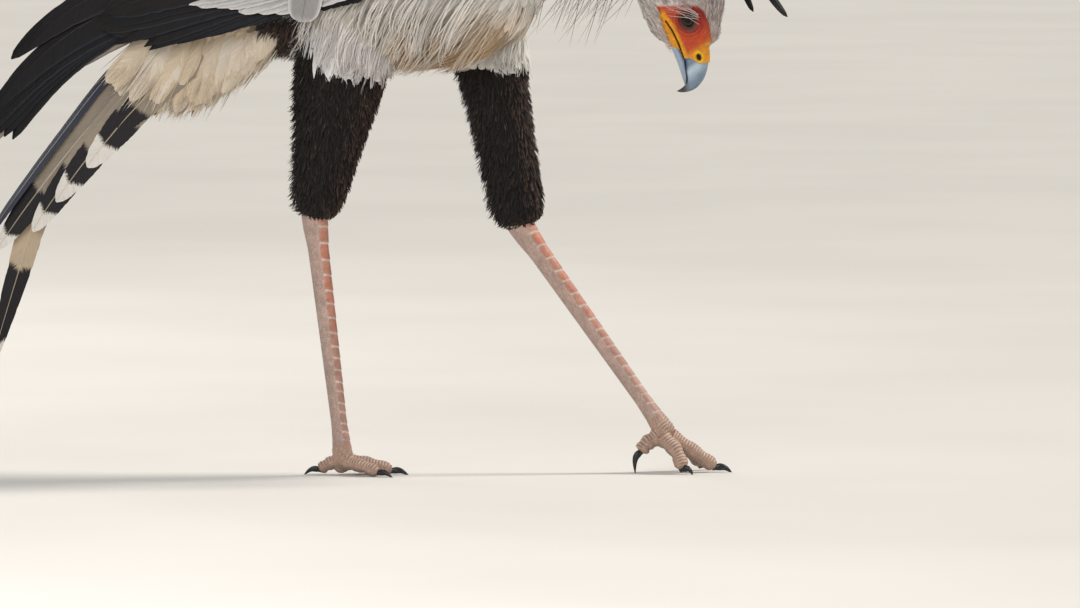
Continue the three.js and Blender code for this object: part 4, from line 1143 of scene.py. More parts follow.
whiteForm = {"fineness": 9.0, "slant": 1.3, "splits": 0.35, "deep": 0.22, "uneven": 0.1, "mottleScale": 26.0,
             "glow": 0.25, "glowTint": "f8f5f0", "rough": 0.62, "bump": 0.5, "sheen": 0.35, "gloss": 0.35}
greyForm = {**whiteForm, "deep": 0.3, "glow": 0.18, "glowTint": "d9d6d4", "fineness": 11.0}
blackForm = {**whiteForm, "deep": 0.4, "glow": 0.3, "glowTint": "5d463c", "sheen": 0.12, "rough": 0.66, "splits": 0.6}
soft = featherMaterial("soft white feathers", whiteForm)
softGrey = featherMaterial("soft grey feathers", greyForm)
softBlack = featherMaterial("black leg feathers", blackForm)

# Trunk: breast, belly, flanks and back, in rows from the breast to the tail
plainCoat = {"power": 0.6, "quill": 0.4, "tipFrom": 0.5, "clump": 0}  # what a coat has unless it says otherwise
trunkCoat = {**plainCoat, "row": 11.0, "spacing": 8.5, "length": (34, 58), "width": (10, 15), "rings": 11, "low": -12.0,
             "high": -0.5, "loose": (-1.5, 1.5), "blunt": 3.0, "fray": 0.3, "slant": 0.9, "camber": 0.3, "thick": 0.4,
             "rollSpread": 0.15}
locks = {**plainCoat, "row": 9.0, "spacing": 3.0, "length": (46, 86), "width": (0.7, 1.7), "rings": 9, "low": -7.0,
         "high": 1.5, "loose": (-1.0, 6.0), "blunt": 2.2, "fray": 0.2, "quill": 0.8, "slant": 0.0, "camber": 0.1,
         "thick": 0.3, "rollSpread": 0.6, "clump": 16, "pull": (0.3, 0.95), "lockTone": (0.7, 1.14)}


def trunkLie(pos, out, s):  # back, and down more on the flanks; nearly straight down on the breast
    x, y, z = pos.T
    droop = mix(0.25, 1.15, smooth(640, 520, z)) * smooth(0.02, 0.6, np.abs(out[:, 1]))
    way = np.stack([-np.ones(len(x)), 0.15 * np.sign(y) * smooth(120, 150, x), -droop], -1)
    return washed(way, (np.array([-0.35, 0, -1.0]), smooth(110, 150, x)))


def makeTrunkCoat(form, lockForm):
    # Contour feathers all over, but not under the wings and neck; then silky locks over breast, belly and flank.
    bunch = Bunch()
    t, angle, pos, _ = rowsOn(trunkStations, (0.0, 0.97), form["row"], form["spacing"])
    x, y, z = pos.T
    wing = (z > 600 + 0.19 * x) & (x > -235) & (x < 118) & (np.abs(y) > 42)
    t, angle, pos = kept(~wing & ~((x > 112) & (z > 640)), t, angle, pos)
    length = rng.uniform(*form["length"], len(t)) * mix(0.8, 1.15, smooth(560, 500, pos[:, 2]))
    width = rng.uniform(*form["width"], len(t))
    softBatch(bunch, trunkStations, t, angle, length, width, trunkLie, form, toned(trunkColour(pos)))
    bunch.put("trunk_coat", soft, "body_white")
    bunch = Bunch()
    t, angle, pos, _ = rowsOn(trunkStations, (0.0, 0.62), lockForm["row"], lockForm["spacing"], 0.5)
    x, y, z = pos.T
    length = rng.uniform(*lockForm["length"], len(t))
    keep = (z < 604 + 0.19 * x) & ~((x > 128) & (z > 630)) & ((x - 0.8 * length > -106) | (z > 562) | (x < -150))
    t, angle, pos, length = kept(keep, t, angle, pos, length)
    sway = rng.normal(0, 0.16, (len(t), 3))
    swayed = lambda pos, out, s: trunkLie(pos, out, s) + sway
    tint = trunkColour(pos)
    softBatch(bunch, trunkStations, t, angle, length, rng.uniform(*lockForm["width"], len(t)), swayed, lockForm,
              toned(tint, 0.9, 1.12), toned(tint, 1.0, 1.2))
    bunch.put("belly_plumes", soft, "body_white")


# Belly and thigh fringe: long loose plumes that hang past the outline, white over the legs' black
fringe = {**locks, "rings": 8, "low": -2.0, "high": 5.0, "loose": (-1.0, 5.0), "power": 0.5, "clump": 14}
veil = {**fringe, "rings": 10, "low": -4.0, "high": 9.0, "loose": (0.0, 6.0), "length": (62, 112), "width": (0.8, 2.0)}


def lieSway(count):  # each feather's own way to lean, the same at every step of one batch
    if len(lieSway.kept) != count:
        lieSway.kept = rng.normal(0, 1, (count, 3))
    return lieSway.kept


lieSway.kept = np.zeros((0, 3))


def thighLie(pos, out, s):  # back and down from the flank, then straight down at the tip
    sway = lieSway(len(pos)) * 0.13
    return np.array([mix(-1.15, -0.05, s ** 0.6), 0, -0.9]) + sway


def fanEdge(name, x):  # height of the lower edge of the white over each thigh
    if name == "left":
        return 484 - 10 * smooth(60, 120, x)
    return 503 - 38 * smooth(-112, -70, x) + 8 * smooth(-40, 0, x)


def fanFrom(name, y, z):  # the fan's rear edge: behind it the near thigh is dark
    return np.where(y > -30, -200, -72 + 0.10 * (560 - z)) if name == "right" else -200 + 0 * y


def makeThighTufts(form):
    # Each thigh's fan: contour feathers below and fine tufts above, cut to the fan's edge; then the flank's long veil.
    bunch = Bunch()
    under = {**trunkCoat, "low": -3.0, "high": 2.5, "loose": (-1, 1.5)}
    for name, leg in legs.items():
        stations = leg["stations"]
        for kind, row, spacing, width in ((under, 10.0, 7.5, (9, 14)), (form, 6.5, 3.4, (0.8, 2.2))):
            t, angle, pos, _ = rowsOn(stations, (-0.1, 0.30), row, spacing)
            x, y, z = pos.T
            reach = fanEdge(name, x) + rng.uniform(-5, 9, len(x)) + (6 if kind is under else 0)
            length = np.clip(z - reach, 16, 95) * rng.uniform(0.9, 1.15, len(x))
            t, angle, length, pos = kept((z > reach + 6) & (x > fanFrom(name, y, z)), t, angle, length, pos)
            # shade here is painted warm shade on the fan's middle, the near fan's cool white is painted skylight, and
            # the lower layer is darkened as painted shade in the gaps between tufts
            shade = 0.3 * smooth(60, -20, pos[:, 0]) * smooth(-90, -40, pos[:, 0])
            tint = washed(coatTint["skylitWhite" if name == "right" else "white"], (coatTint["shade"], shade))
            tint = tint * 0.92 if kind is under else tint
            softBatch(bunch, stations, t, angle, length, rng.uniform(*width, len(t)), thighLie, kind,
                      toned(tint, 0.92, 1.06), toned(tint, 1.0, 1.1))
    bunch.put("thigh_tufts", soft, "body_white")
    bunch = Bunch()
    t, angle, pos, out = rowsOn(trunkStations, (0.2, 0.56), 7.0, 2.6, 0.5)
    x, y, z = pos.T
    keep = (z > 512) & (z < 590) & (np.abs(out[:, 1]) > 0.3) & (x > mix(-80, -30, smooth(560, 515, z)))
    keep &= rng.random(len(x)) < np.where(x < 70, 1.0, 0.45)
    t, angle, pos = kept(keep, t, angle, pos)
    tint, count = trunkColour(pos), len(t)
    softBatch(bunch, trunkStations, t, angle, rng.uniform(*veil["length"], count), rng.uniform(*veil["width"], count),
              thighLie, veil, toned(tint, 0.94, 1.06), toned(mix(tint, coatTint["white"], 0.5), 1.0, 1.1))
    bunch.put("flank_plumes", soft, "body_white")


# Legs: short black feathers, brown at their tips and browner in front as painted light, with a ragged cuff at the heel
legCoat = {**plainCoat, "row": 4.0, "spacing": 2.5, "length": (8, 16), "width": (1.1, 2.6), "rings": 6, "low": -5.0,
           "high": 0.6, "loose": (-0.8, 2.8), "blunt": 2.4, "fray": 0.3, "slant": 0.3, "camber": 0.2, "thick": 0.25,
           "rollSpread": 0.6, "power": 0.5, "tipFrom": 0.35, "clump": 6, "pull": (0.1, 0.8), "lockTone": (0.62, 1.45)}


def legLie(pos, out, s):  # straight down, a little back
    return np.array([-0.05, 0, -1.0]) + lieSway(len(pos)) * 0.14


def makeLegCoat(name, leg, form):
    # Black feathers from the fan's edge to the heel, browner in front as painted light, ragged behind; a brown fringe
    # under the vent.
    bunch = Bunch()
    t, angle, pos, out = rowsOn(leg["stations"], (0.0, 0.975), form["row"], form["spacing"], 0.6)
    x, y, z = pos.T
    keep = (z < fanEdge(name, x) + 12) | ((z < 592) & (x < fanFrom(name, y, z) - 4))
    t, angle, out = kept(keep, t, angle, out)
    count = len(t)
    low = smooth(0.86, 1.0, t)
    length = rng.uniform(*form["length"], count) * mix(1, 0.75, low)
    width = rng.uniform(*form["width"], count)
    # tips brown by chance, and browner where they face forward: the forward part is painted light
    brown = np.clip(rng.uniform(0, 0.45, (count, 1)) + 0.9 * smooth(0.1, 0.8, out[:, 0])[:, None], 0, 1)
    brown = mix(coatTint["black"], coatTint["brown"], brown)
    brown[rng.random(count) < 0.03] = rgb("5f4a40")
    behind = smooth(-0.3, -0.9, out[:, 0]) * rng.random(count) ** 2 * 8  # ragged tufts along the rear
    softBatch(bunch, leg["stations"], t, angle, length, width, legLie,
              {**form, "lift": behind + low * rng.uniform(0, 5, count)},
              toned(np.broadcast_to(coatTint["black"], (count, 3)), 0.85, 1.15), toned(brown, 0.85, 1.2))
    if name == "right":
        t, angle, pos, _ = rowsOn(trunkStations, (0.45, 0.85), 6.0, 3.0)
        x, y, z = pos.T
        t, angle = kept((x > -156) & (x < -98) & (z < 545) & (y < 30), t, angle)
        vent = np.broadcast_to(coatTint["vent"], (len(t), 3))
        softBatch(bunch, trunkStations, t, angle, rng.uniform(16, 40, len(t)), rng.uniform(0.8, 1.8, len(t)), thighLie,
                  {**form, "low": -3.0, "high": 3.0, "loose": (2, 12)}, toned(vent),
                  toned(mix(vent, coatTint["brown"], 0.8), 0.9, 1.3))
    bunch.put(f"leg_coat_{name}", softBlack, "feather_black")


print("trunk and legs")
makeTrunkCoat(trunkCoat, locks)
makeThighTufts(fringe)
for name, leg in legs.items():
    makeLegCoat(name, leg, legCoat)

# Neck and head: small grey feathers from the face back to the breast
neckCoat = {**plainCoat, "row": 7.0, "spacing": 5.2, "rings": 8, "low": -7.0, "high": 0.4, "loose": (-0.6, 1.8),
            "blunt": 2.6, "fray": 0.5, "slant": 1.0, "camber": 0.3, "thick": 0.45, "rollSpread": 0.3}
headCoat = {**neckCoat, "row": 3.0, "spacing": 2.0, "rings": 7, "low": -2.8, "high": 0.5, "loose": (-0.4, 1.6),
            "thick": 0.3, "fray": 0.3, "blunt": 2.2, "clump": 5, "pull": (0.1, 0.8), "lockTone": (0.72, 1.1)}


def neckLie(pos, out, s):  # from the bill to the trunk, against the slope of the neck's nearest part
    line, slope = curveAt(neckStations[:, :3], np.linspace(0, 1, 40))
    near = np.argmin(np.linalg.norm(pos[:, None] - line[None], axis=2), 1)
    return -unit(slope)[near] + lieSway(len(pos)) * 0.12


def makeNeckCoat(form, headForm):
    # Neck: feathers that grow smaller towards the head. Head: fine ones, smallest round the face's edge.
    bunch = Bunch()
    t, angle, pos, _ = rowsOn(neckStations, (0.02, faceFrom), form["row"], form["spacing"])
    size = mix(1.35, 0.8, smooth(0.05, faceFrom, t))
    length, width = (rng.uniform(*span, len(t)) * size for span in ((22, 34), (6.5, 10)))
    softBatch(bunch, neckStations, t, angle, length, width, neckLie, form, toned(neckColour(pos)))
    bunch.put("neck_coat", softGrey, "feather_grey")
    bunch = Bunch()
    t, angle, pos, _ = rowsOn(neckStations, (faceFrom * 0.97, 0.995), headForm["row"], headForm["spacing"], 0.5)
    u, v = headPlace(pos)
    away = -insideLine(faceLine, u, v)
    middle = np.abs(pos[:, 1]) < 9  # the forehead and chin, between the two bare cheeks
    keep = ((away > 0.5) | (middle & ((v > 6) & (u < 37) | (v < -20) & (u < 24)))) & (u < 38)
    t, angle, pos, away, u = kept(keep, t, angle, pos, away, u)
    size = mix(0.55, 1.15, smooth(0, 34, np.maximum(away, 4))) * mix(1, 0.6, smooth(20, 36, u) * (pos[:, 2] > 0))
    length = rng.uniform(13, 24, len(t)) * size
    width = rng.uniform(1.0, 2.1, len(t)) * mix(0.75, 1.2, smooth(0, 30, away))
    tint = neckColour(pos)
    softBatch(bunch, neckStations, t, angle, length, width, neckLie, headForm,
              toned(tint * rgb("f2e4e0"), 0.7, 1.05), toned(tint, 0.95, 1.2))
    bunch.put("head_coat", softGrey, "feather_grey")


print("neck and head")
makeNeckCoat(neckCoat, headCoat)

# Wings. Tiers of broad vanes on one smooth flank, each row a curve of roots and one of tips: x and z in millimetres.
wingHalfSpread = 114.0
plainTier = {"section": broadSection, "quill": 0.3, "point": 0.5, "nick": 0.03, "even": 0.9, "lop": 0.0, "slant": 0.25,
             "thick": 0.3, "cup": 0.5, "shingle": 3.0, "sink": 0, "stack": 0, "uneven": 0, "tones": (0.9, 1.08)}


def plank(x, z=0.0):  # the long quills lie flat, as wide apart as the flank at its widest
    ahead = np.clip((x - 10) / 200, 0, 0.97)
    behind = np.clip((10 - x) / 600, 0, 0.97)
    return wingHalfSpread * np.sqrt(1 - ahead ** 2) * (1 - behind ** 1.3)


def flank(x, z):  # upright below and curving in over the back
    above = z - (590 + 0.19 * x)
    rise = above / mix(110, 60, np.clip(-x / 300, 0, 1))
    return plank(x) * np.sqrt(1 - np.clip((rise - 0.05) / 0.95, 0, 0.96) ** 2)


def tent(x, z):  # the half-closed tail's side below its ridge
    return 5 + 0.42 * np.maximum(0, (x + 300) * 0.837 + (z - 560) * -0.548)


def sideCurve(rows, t):  # a smooth line through x, z pairs, in the bird's middle plane
    return curveAt(np.array([[x, 0, z] for x, z in rows], float), t)[0]


def nicked(half, form):  # the outline, nicked here and there
    return np.maximum(half * (1 - form["nick"] * rng.random((len(half), form["rings"])) ** 4 * 3), 0.3)


def tierVanes(side, form):
    # Vanes seen from the side as curves from root to tip, then stood out by the surface under each point.
    count, rings, section = form["count"], form["rings"], form["section"]
    t = np.linspace(0, 1, count)
    root, tip = sideCurve(form["roots"], t), sideCurve(form["tips"], t)
    uneven = rng.normal(0, form["uneven"], (2, count))
    tip = tip + np.stack([uneven[0], 0 * t, uneven[1]], -1)
    bow = mix(*form["bow"], t)[:, None]
    bend = (root + tip) / 2 + unit(np.cross(yAxis, tip - root)) * 2 * bow
    s = np.linspace(0, 1, rings) ** form["even"]
    s3 = s[None, :, None]
    shaft = (1 - s3) ** 2 * root[:, None] + 2 * s3 * (1 - s3) * bend[:, None] + s3 ** 2 * tip[:, None]
    along = unit(np.gradient(shaft, axis=1))
    perp = np.cross(yAxis, along)
    width = form["width"]
    half = np.full((count, 1), width / 2) * vaneOutline(s, form["blunt"], form["quill"], 0, form["point"])[None]
    half = nicked(half, form)
    across, high = section[:, 0], section[:, 1]
    h = half[..., None]
    reachOut = (across + form["lop"] * (1 - across ** 2)) * h  # the shaft nearer to one edge, as on an outer quill
    slant = form["slant"] * np.abs(across) * h * (1 - s[None, :, None] ** 3)
    at = shaft[:, :, None] + perp[:, :, None] * reachOut[..., None] + along[:, :, None] * slant[..., None]
    sink = form["sink"] * np.maximum(0, 1 - s / 0.2)[None, :, None]
    raised = form["lift"] + form["stack"] * t[:, None, None] * form.get("spread", 0) - sink
    lean = -form["shingle"] * (reachOut / (width / 2))
    curl = -form["cup"] * across ** 2 * s[None, :, None]
    stand = form["surface"](at[..., 0], at[..., 2]) + raised + lean + curl + form["thick"] * high
    at[..., 1] = side * stand
    return at, lengthsOf(shaft), half


def flankMap(x, z):  # a place on the flank's own map
    return np.stack([0.02 + 0.96 * np.clip((x + 340) / 520, 0, 1), 0.02 + 0.96 * np.clip((z - 480) / 230, 0, 1)], -1)


def addTier(bunch, side, form, tint, tipTint=None, start=0.5):
    # One row of vanes. A long quill has a strip of the bake map to itself, others a patch at their root's place.
    form = {**plainTier, **form}
    at, length, half = tierVanes(side, form)
    count = len(at)
    shades = toned(np.broadcast_to(tint, (count, 3)), *form["tones"])
    tips = None if tipTint is None else toned(np.broadcast_to(tipTint, (count, 3)), 0.95, 1.05)
    bunch.add(at, form["section"], length, half, flankMap(at[:, 0, 0, 0], at[:, 0, 0, 2]), rng.random(count), shades,
              tips, start)
    if "strip" in form:
        low, tall = form["strip"]
        low = low + tall * np.arange(count) / count
        bunch.maps[-1]["OFBake"] = stripMap(at, form["section"], low, 0.86 * tall / count)


def between(a, b, t):  # a line of roots or tips partway from one to another
    return mix(*(sideCurve(rows, np.linspace(0, 1, 3))[:, [0, 2]] for rows in (a, b)), t)


longQuill = {"surface": plank, "rings": 30, "tones": (0.7, 1.3), "spread": 6}
wingTiers = {
    "primaries": {
        **longQuill, "count": 10, "width": 40, "lift": -17.5, "stack": -1.3, "blunt": 2.6, "bow": [34, 54], "rings": 34,
        "lop": 0.3, "strip": (0.02, 0.46), "roots": [[-190, 580], [-170, 560]],
        "tips": [[-438, 503], [-457, 491], [-474, 434], [-483, 425], [-486, 418], [-485, 412], [-481, 406], [-474, 402],
                 [-466, 399], [-456, 396]]},
    "secondaries": {
        **longQuill, "count": 14, "width": 34, "lift": -11, "stack": 1.2, "blunt": 4.5, "bow": [6, 10], "lop": 0.15,
        "strip": (0.5, 0.34), "uneven": 3.0, "nick": 0.02, "point": 0.95,
        "roots": [[-40, 584], [-100, 580], [-150, 572]], "tips": [[-176, 541], [-236, 517], [-290, 509], [-332, 512]]},
    "pale": {
        "surface": plank, "count": 1, "width": 34, "lift": -27, "blunt": 3.0, "bow": [40, 40], "rings": 30,
        "strip": (0.98, 0.015), "roots": [[-190, 560], [-190, 560]], "tips": [[-488, 384], [-488, 384]]},
    "gap": {
        "surface": flank, "count": 5, "width": 26, "lift": -1.4, "shingle": 0.4, "thick": 0.2, "blunt": 5,
        "bow": [1, 2], "rings": 12, "roots": [[-24, 612], [-84, 604]], "tips": [[-56, 560], [-98, 548]]},
    "tertials": {
        "surface": plank, "count": 5, "width": 46, "lift": -7, "stack": 1.6, "spread": 3, "blunt": 5.5, "bow": [6, 8],
        "rings": 24, "strip": (0.86, 0.12),
        "roots": [[-112, 576], [-128, 588], [-124, 600]], "tips": [[-330, 522], [-352, 530], [-344, 548]]},
}
covertTiers = {
    "greater": {"surface": flank, "count": 16, "width": 33, "lift": 0.5, "sink": 4.5, "blunt": 3.4, "bow": [2, 6],
                "rings": 18, "uneven": 2.2, "shingle": 3.4, "roots": [[100, 622], [20, 600], [-80, 586], [-160, 582]],
                "tips": [[44, 612], [-34, 604], [-118, 551], [-188, 551], [-252, 563]]},
    "median": {"surface": flank, "count": 15, "width": 28, "lift": 4, "sink": 8, "blunt": 6, "bow": [1, 3], "rings": 12,
               "uneven": 1.5, "shingle": 2.6, "roots": [[128, 642], [20, 624], [-130, 602]],
               "tips": [[80, 608], [-34, 584], [-190, 566]]},
}
scapularForm = {"surface": flank, "count": 11, "width": 34, "lift": 11, "stack": -2, "spread": 3, "sink": 14,
                "blunt": 6, "bow": [4, 6], "rings": 14, "uneven": 2.0, "shingle": 2.5,
                "roots": [[112, 668], [20, 670], [-72, 644]], "tips": [[40, 662], [-70, 634], [-205, 588]]}
smallCovert = {"surface": flank, "blunt": 5, "bow": [1, 2], "rings": 9, "section": midSection, "uneven": 1.5,
               "shingle": 2.0, "sink": 8, "count": 17}
lesserLow = {"roots": [[126, 646], [20, 630], [-130, 606]], "tips": [[92, 626], [-24, 606], [-178, 584]]}
lesserTop = {"roots": [[140, 662], [40, 682], [-110, 640]], "tips": [[118, 652], [10, 668], [-150, 612]]}
# sheen is a painted bluish reflection for the quills' edges
quillTint = {key: rgb(text) for key, text in {
    "black": "0f0e11", "sheen": "30343f", "brown": "1d1512", "covert": "b3afae", "covertTip": "dad6d2",
    "lesser": "b9b5b2", "pale": "b5a897", "round": "9d9996"}.items()}
roundForm = {"surface": flank, "count": 1, "width": 40, "lift": 5.5, "blunt": 7, "bow": [1, 1], "rings": 26,
             "quill": 0.6, "nick": 0.01, "shingle": 1.0, "sink": 13,
             "roots": [[-99, 606], [-99, 606]], "tips": [[-113, 538], [-113, 538]]}
quillForm = {"fineness": 13.0, "slant": 1.7, "splits": 0.35, "deep": 0.35, "uneven": 0.2, "mottleScale": 18.0,
             "glow": 0.0, "rough": 0.5, "bump": 0.5, "sheen": 0.0, "gloss": 0.22}
covertForm = {**quillForm, "deep": 0.22, "rough": 0.55, "gloss": 0.35, "uneven": 0.12, "sheen": 0.1}


def quillMarks(w, tint, streak):  # a pale shaft, and a painted bluish sheen along the edge
    edge, chance = w.attribute("edge"), w.attribute("chance")
    # painted sheen: a bluish reflection painted along each vane's edge, stronger on some feathers
    lit = w.math("MULTIPLY", w.ramp(edge, 0.84, 1.0), w.ramp(chance, 0.1, 0.9, (0.2, 0.8)))
    colour = w.blend(w.ramp(chance, 0.4, 1.0, (0.0, 0.8)), tint, quillTint["brown"])
    colour = w.blend(lit, colour, quillTint["sheen"])
    shaft = w.math("MULTIPLY", w.ramp(edge, 0.03, 0.055, (0.75, 0.0)),
                   w.ramp(w.attribute("reach"), 0.9, 0.3, (0.2, 1.0)))
    return w.blend(shaft, colour, rgb("4b3f38"))


def covertMarks(w, tint, streak):  # paler towards the edge, a dark fine shaft
    edge = w.attribute("edge")
    colour = w.blend(w.math("MULTIPLY", w.ramp(edge, 0.7, 1.0), 0.75), tint, rgb("ece8e3"))
    return w.blend(w.ramp(edge, 0.03, 0.05, (0.45, 0.0)), colour, rgb("6d6864"))


quills = featherMaterial("quills", quillForm, quillMarks)
coverts = featherMaterial("coverts", covertForm, covertMarks)


def makeWing(name, side):
    # Long quills; then coverts in rows: greater and median, the round one, lesser, the front end's, the shoulder's.
    bunch = Bunch()
    for label, form in wingTiers.items():
        addTier(bunch, side, form, quillTint["pale" if label == "pale" else "black"])
    long = bunch.put(f"quills_{name}", quills, "feather_black", 40)
    bunch = Bunch()
    row = lambda form, base, start: addTier(bunch, side, form, quillTint[base], quillTint["covertTip"], start)
    for form in covertTiers.values():
        row(form, "covert", 0.4)
    addTier(bunch, side, roundForm, quillTint["round"], quillTint["lesser"], 0.85)
    for t in np.arange(6) / 5:
        row({**smallCovert, "width": mix(22, 16, t), "lift": mix(6, 8, t),
             **{key: between(lesserLow[key], lesserTop[key], t) for key in ("roots", "tips")}}, "lesser", 0.3)
    for k in range(7):
        back = 9 * k
        row({**smallCovert, "count": 9 + k, "width": 13, "lift": 4 + 0.8 * k, "sink": 5, "blunt": 4, "bow": [1, 1],
             "rings": 8, "uneven": 1.2, "shingle": 1.5,
             "roots": [[167 - back, 628 - 2.5 * k], [172 - back, 641], [160 - back, 652 + 3.5 * k]],
             "tips": [[143 - back, 621 - 2.5 * k], [147 - back, 638], [136 - back, 654 + 4 * k]]}, "lesser", 0.3)
    row(scapularForm, "covert", 0.4)
    for k, (rise, back) in enumerate(((14, 22), (26, 40))):
        row({**scapularForm, "lift": 10 - 2 * k, "width": 30 - 4 * k, "count": 10,
             "roots": [[x + 10, z + rise * 0.8] for x, z in scapularForm["roots"]],
             "tips": [[x + back, z + rise] for x, z in scapularForm["tips"]]}, "lesser", 0.4)
    for piece in (long, bunch.put(f"coverts_{name}", coverts, "feather_grey", 40)):
        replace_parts(piece, f"wing_{name}")


# The wing's arm, under its coverts
armStations = np.array([
    [164, 641, 636, 3], [158, 650, 629, 12], [138, 664, 614, 32], [104, 678, 600, 42], [50, 686, 588, 46],
    [-10, 682, 580, 48],
    [-70, 662, 568, 44], [-130, 630, 556, 34], [-185, 592, 547, 18], [-222, 572, 552, 6]], float)


def makeArm(name, side):  # at each station an oval between top and bottom, laid along the inside of the flank
    x, top, bottom, deep = curveAt(armStations, np.linspace(0, 1, 40))[0].T[..., None]
    a = ringAngles(32)
    z = (top + bottom) / 2 + (top - bottom) / 2 * np.sin(a)
    x = np.broadcast_to(x, z.shape)
    out = np.cos(a)[None]
    y = side * (flank(x, z) - 6 + np.where(out > 0, 4, deep) * out)
    points, faces = loft(np.stack([x, y, z], -1)[None])
    uv = np.stack([(points[:, 0] + 340) / 520, (points[:, 2] - 480) / 230], -1)
    tint = np.broadcast_to(quillTint["covert"], points.shape)
    material = bpy.data.materials["under coat"]
    piece = putMesh(f"arm_{name}", points, faces, [material], {"OFBake": uv}, tint)
    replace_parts(piece, f"wing_{name}")


print("wings")
for name, side in (("left", 1), ("right", -1)):
    makeArm(name, side)
    makeWing(name, side)

# Tail: five feathers a side on the tent, a long middle pair, banded black and tipped white
# grey and cream are the tail's pale grey, darkened and warmed by painted shade; top is grey darkened by painted shade
# and blued by a painted sky reflection
tailTint = {"grey": rgb("9c8f7e"), "cream": rgb("cbb699"), "band": rgb("171214"), "tip": rgb("ede6dc"),
            "top": rgb("3a3f4c")}
outerTail = {"surface": tent, "count": 5, "width": 38, "lift": 2.2, "stack": -0.8, "spread": 4, "shingle": -2.5,
             "blunt": 5, "bow": [3, 9], "rings": 44, "lop": 0.12, "thick": 0.3,
             "roots": [[-232, 500], [-236, 516], [-238, 544]],
             "tips": [[-331, 410], [-367, 364], [-404, 323], [-432, 288], [-474, 266]]}
middleTail = {"section": broadSection, "nick": 0.03, "flare": 0, "rings": 70, "blunt": 3.2, "quill": 0.4,
              "camber": 0.06, "slant": 0.25, "thick": 0.35}
middleLine = [[-240, 505], [-318, 434], [-383, 378], [-424, 318], [-452, 232], [-484, 126]]
upperLine = [[-232, 542], [-286, 520], [-333, 482], [-402, 396], [-464, 312], [-484, 282]]


def freeVanes(lines, facing, widths, form):
    # Vanes on free curves: lines (count, points, 3), each facing its own way.
    s = np.linspace(0, 1, form["rings"])
    shaft = curvesAt(lines, s)
    out = squareTo(np.asarray(facing, float)[:, None], unit(np.gradient(shaft, axis=1)))
    half = np.asarray(widths, float)[:, None] / 2 * vaneOutline(s, form["blunt"], form["quill"], form["flare"])
    half = nicked(half, form)
    return vanes(shaft, out, half, form["section"], form), lengthsOf(shaft), half


def tailMarks(w, tint, streak):
    # From the tip: white, then a black band, then grey. The band's edges run along the barbs and are ragged.
    edge = w.attribute("edge")
    ragged = w.math("MULTIPLY", w.math("SUBTRACT", streak, 0.5), 7.0)
    place = w.math("ADD", w.math("SUBTRACT", w.attribute("fromTip"), w.math("MULTIPLY", edge, 9.0)), ragged)
    white = w.attribute("tipLength")
    inside = w.math("SUBTRACT", place, white)
    inBand = w.math("MULTIPLY", w.ramp(inside, -1.5, 1.5),
                    w.ramp(w.math("SUBTRACT", place, w.math("ADD", white, w.attribute("bandLength"))), 2.5, -2.5))
    colour = w.blend(inBand, tint, tailTint["band"])
    colour = w.blend(w.ramp(inside, 1.5, -1.5), colour, tailTint["tip"])
    return w.blend(w.ramp(edge, 0.03, 0.055, (0.6, 0.0)), colour, rgb("d9c7ad"))


tailForm = {**quillForm, "deep": 0.2, "rough": 0.55, "gloss": 0.35, "uneven": 0.15, "sheen": 0.15}
tailMaterial = featherMaterial("tail feathers", tailForm, tailMarks)


def makeTail():
    # On each side five outer feathers, a long middle one and one above it, each with its tip's and band's lengths.
    bunch, marks = Bunch(), []
    for side in (1, -1):
        right = side < 0
        addTier(bunch, side, {**outerTail, "strip": (0.42 if right else 0.02, 0.38)}, tailTint["grey"])
        per = outerTail["rings"] * len(broadSection)
        marks.append(np.stack([np.repeat(row, per) for row in ([-20, 36, 30, 28, 22], [54, 40, 46, 60, 70])], -1))
        for line, away, width, form, tint, low, mark in (
                (middleLine, 4.5, 37, middleTail, "cream", 0.91 if right else 0.83, [22.0, 80.0]),
                (upperLine, 9.5, 20, {**middleTail, "roll": np.array([side * 0.9])}, "top", None, [-20.0, 60.0])):
            lines = [np.array([[x, side * away, z] for x, z in line], float)]
            at, length, half = freeVanes(lines, [[0, side, 0]], [width], form)
            bunch.add(at, broadSection, length, half, np.array([[0.02, 0.95]]), rng.random(1), tailTint[tint][None])
            if low:
                bunch.maps[-1]["OFBake"] = stripMap(at, broadSection, np.array([low]), 0.07)
            marks.append(np.broadcast_to(mark, (at.shape[1] * at.shape[2], 2)))
    marks, start = np.concatenate(marks), 0
    for values in bunch.values:
        size = len(values["reach"])
        values["tipLength"], values["bandLength"] = marks[start:start + size].T
        start += size
    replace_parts(bunch.put("tail_feathers", tailMaterial, "tail_grey", 40), "tail")


# Coverts of the tail: long soft plumes in rows below
underTail = {"rings": 16, "blunt": 3.6, "quill": 0.55, "flare": 0, "nick": 0.03, "section": midSection, "slant": 0.6,
             "camber": 0.3, "thick": 0.6, "spread": 46, "count": 17, "width": (25, 33), "loose": 14, "rows": 9,
             "rootMid": [[-146, 518], [-200, 508], [-284, 494]], "rootSide": [[-138, 548], [-200, 546], [-276, 532]],
             "tipMid": [[-186, 470], [-216, 446], [-246, 427], [-284, 424], [-330, 446]],
             "tipSide": [[-180, 484], [-210, 462], [-244, 444], [-284, 440], [-338, 468]]}


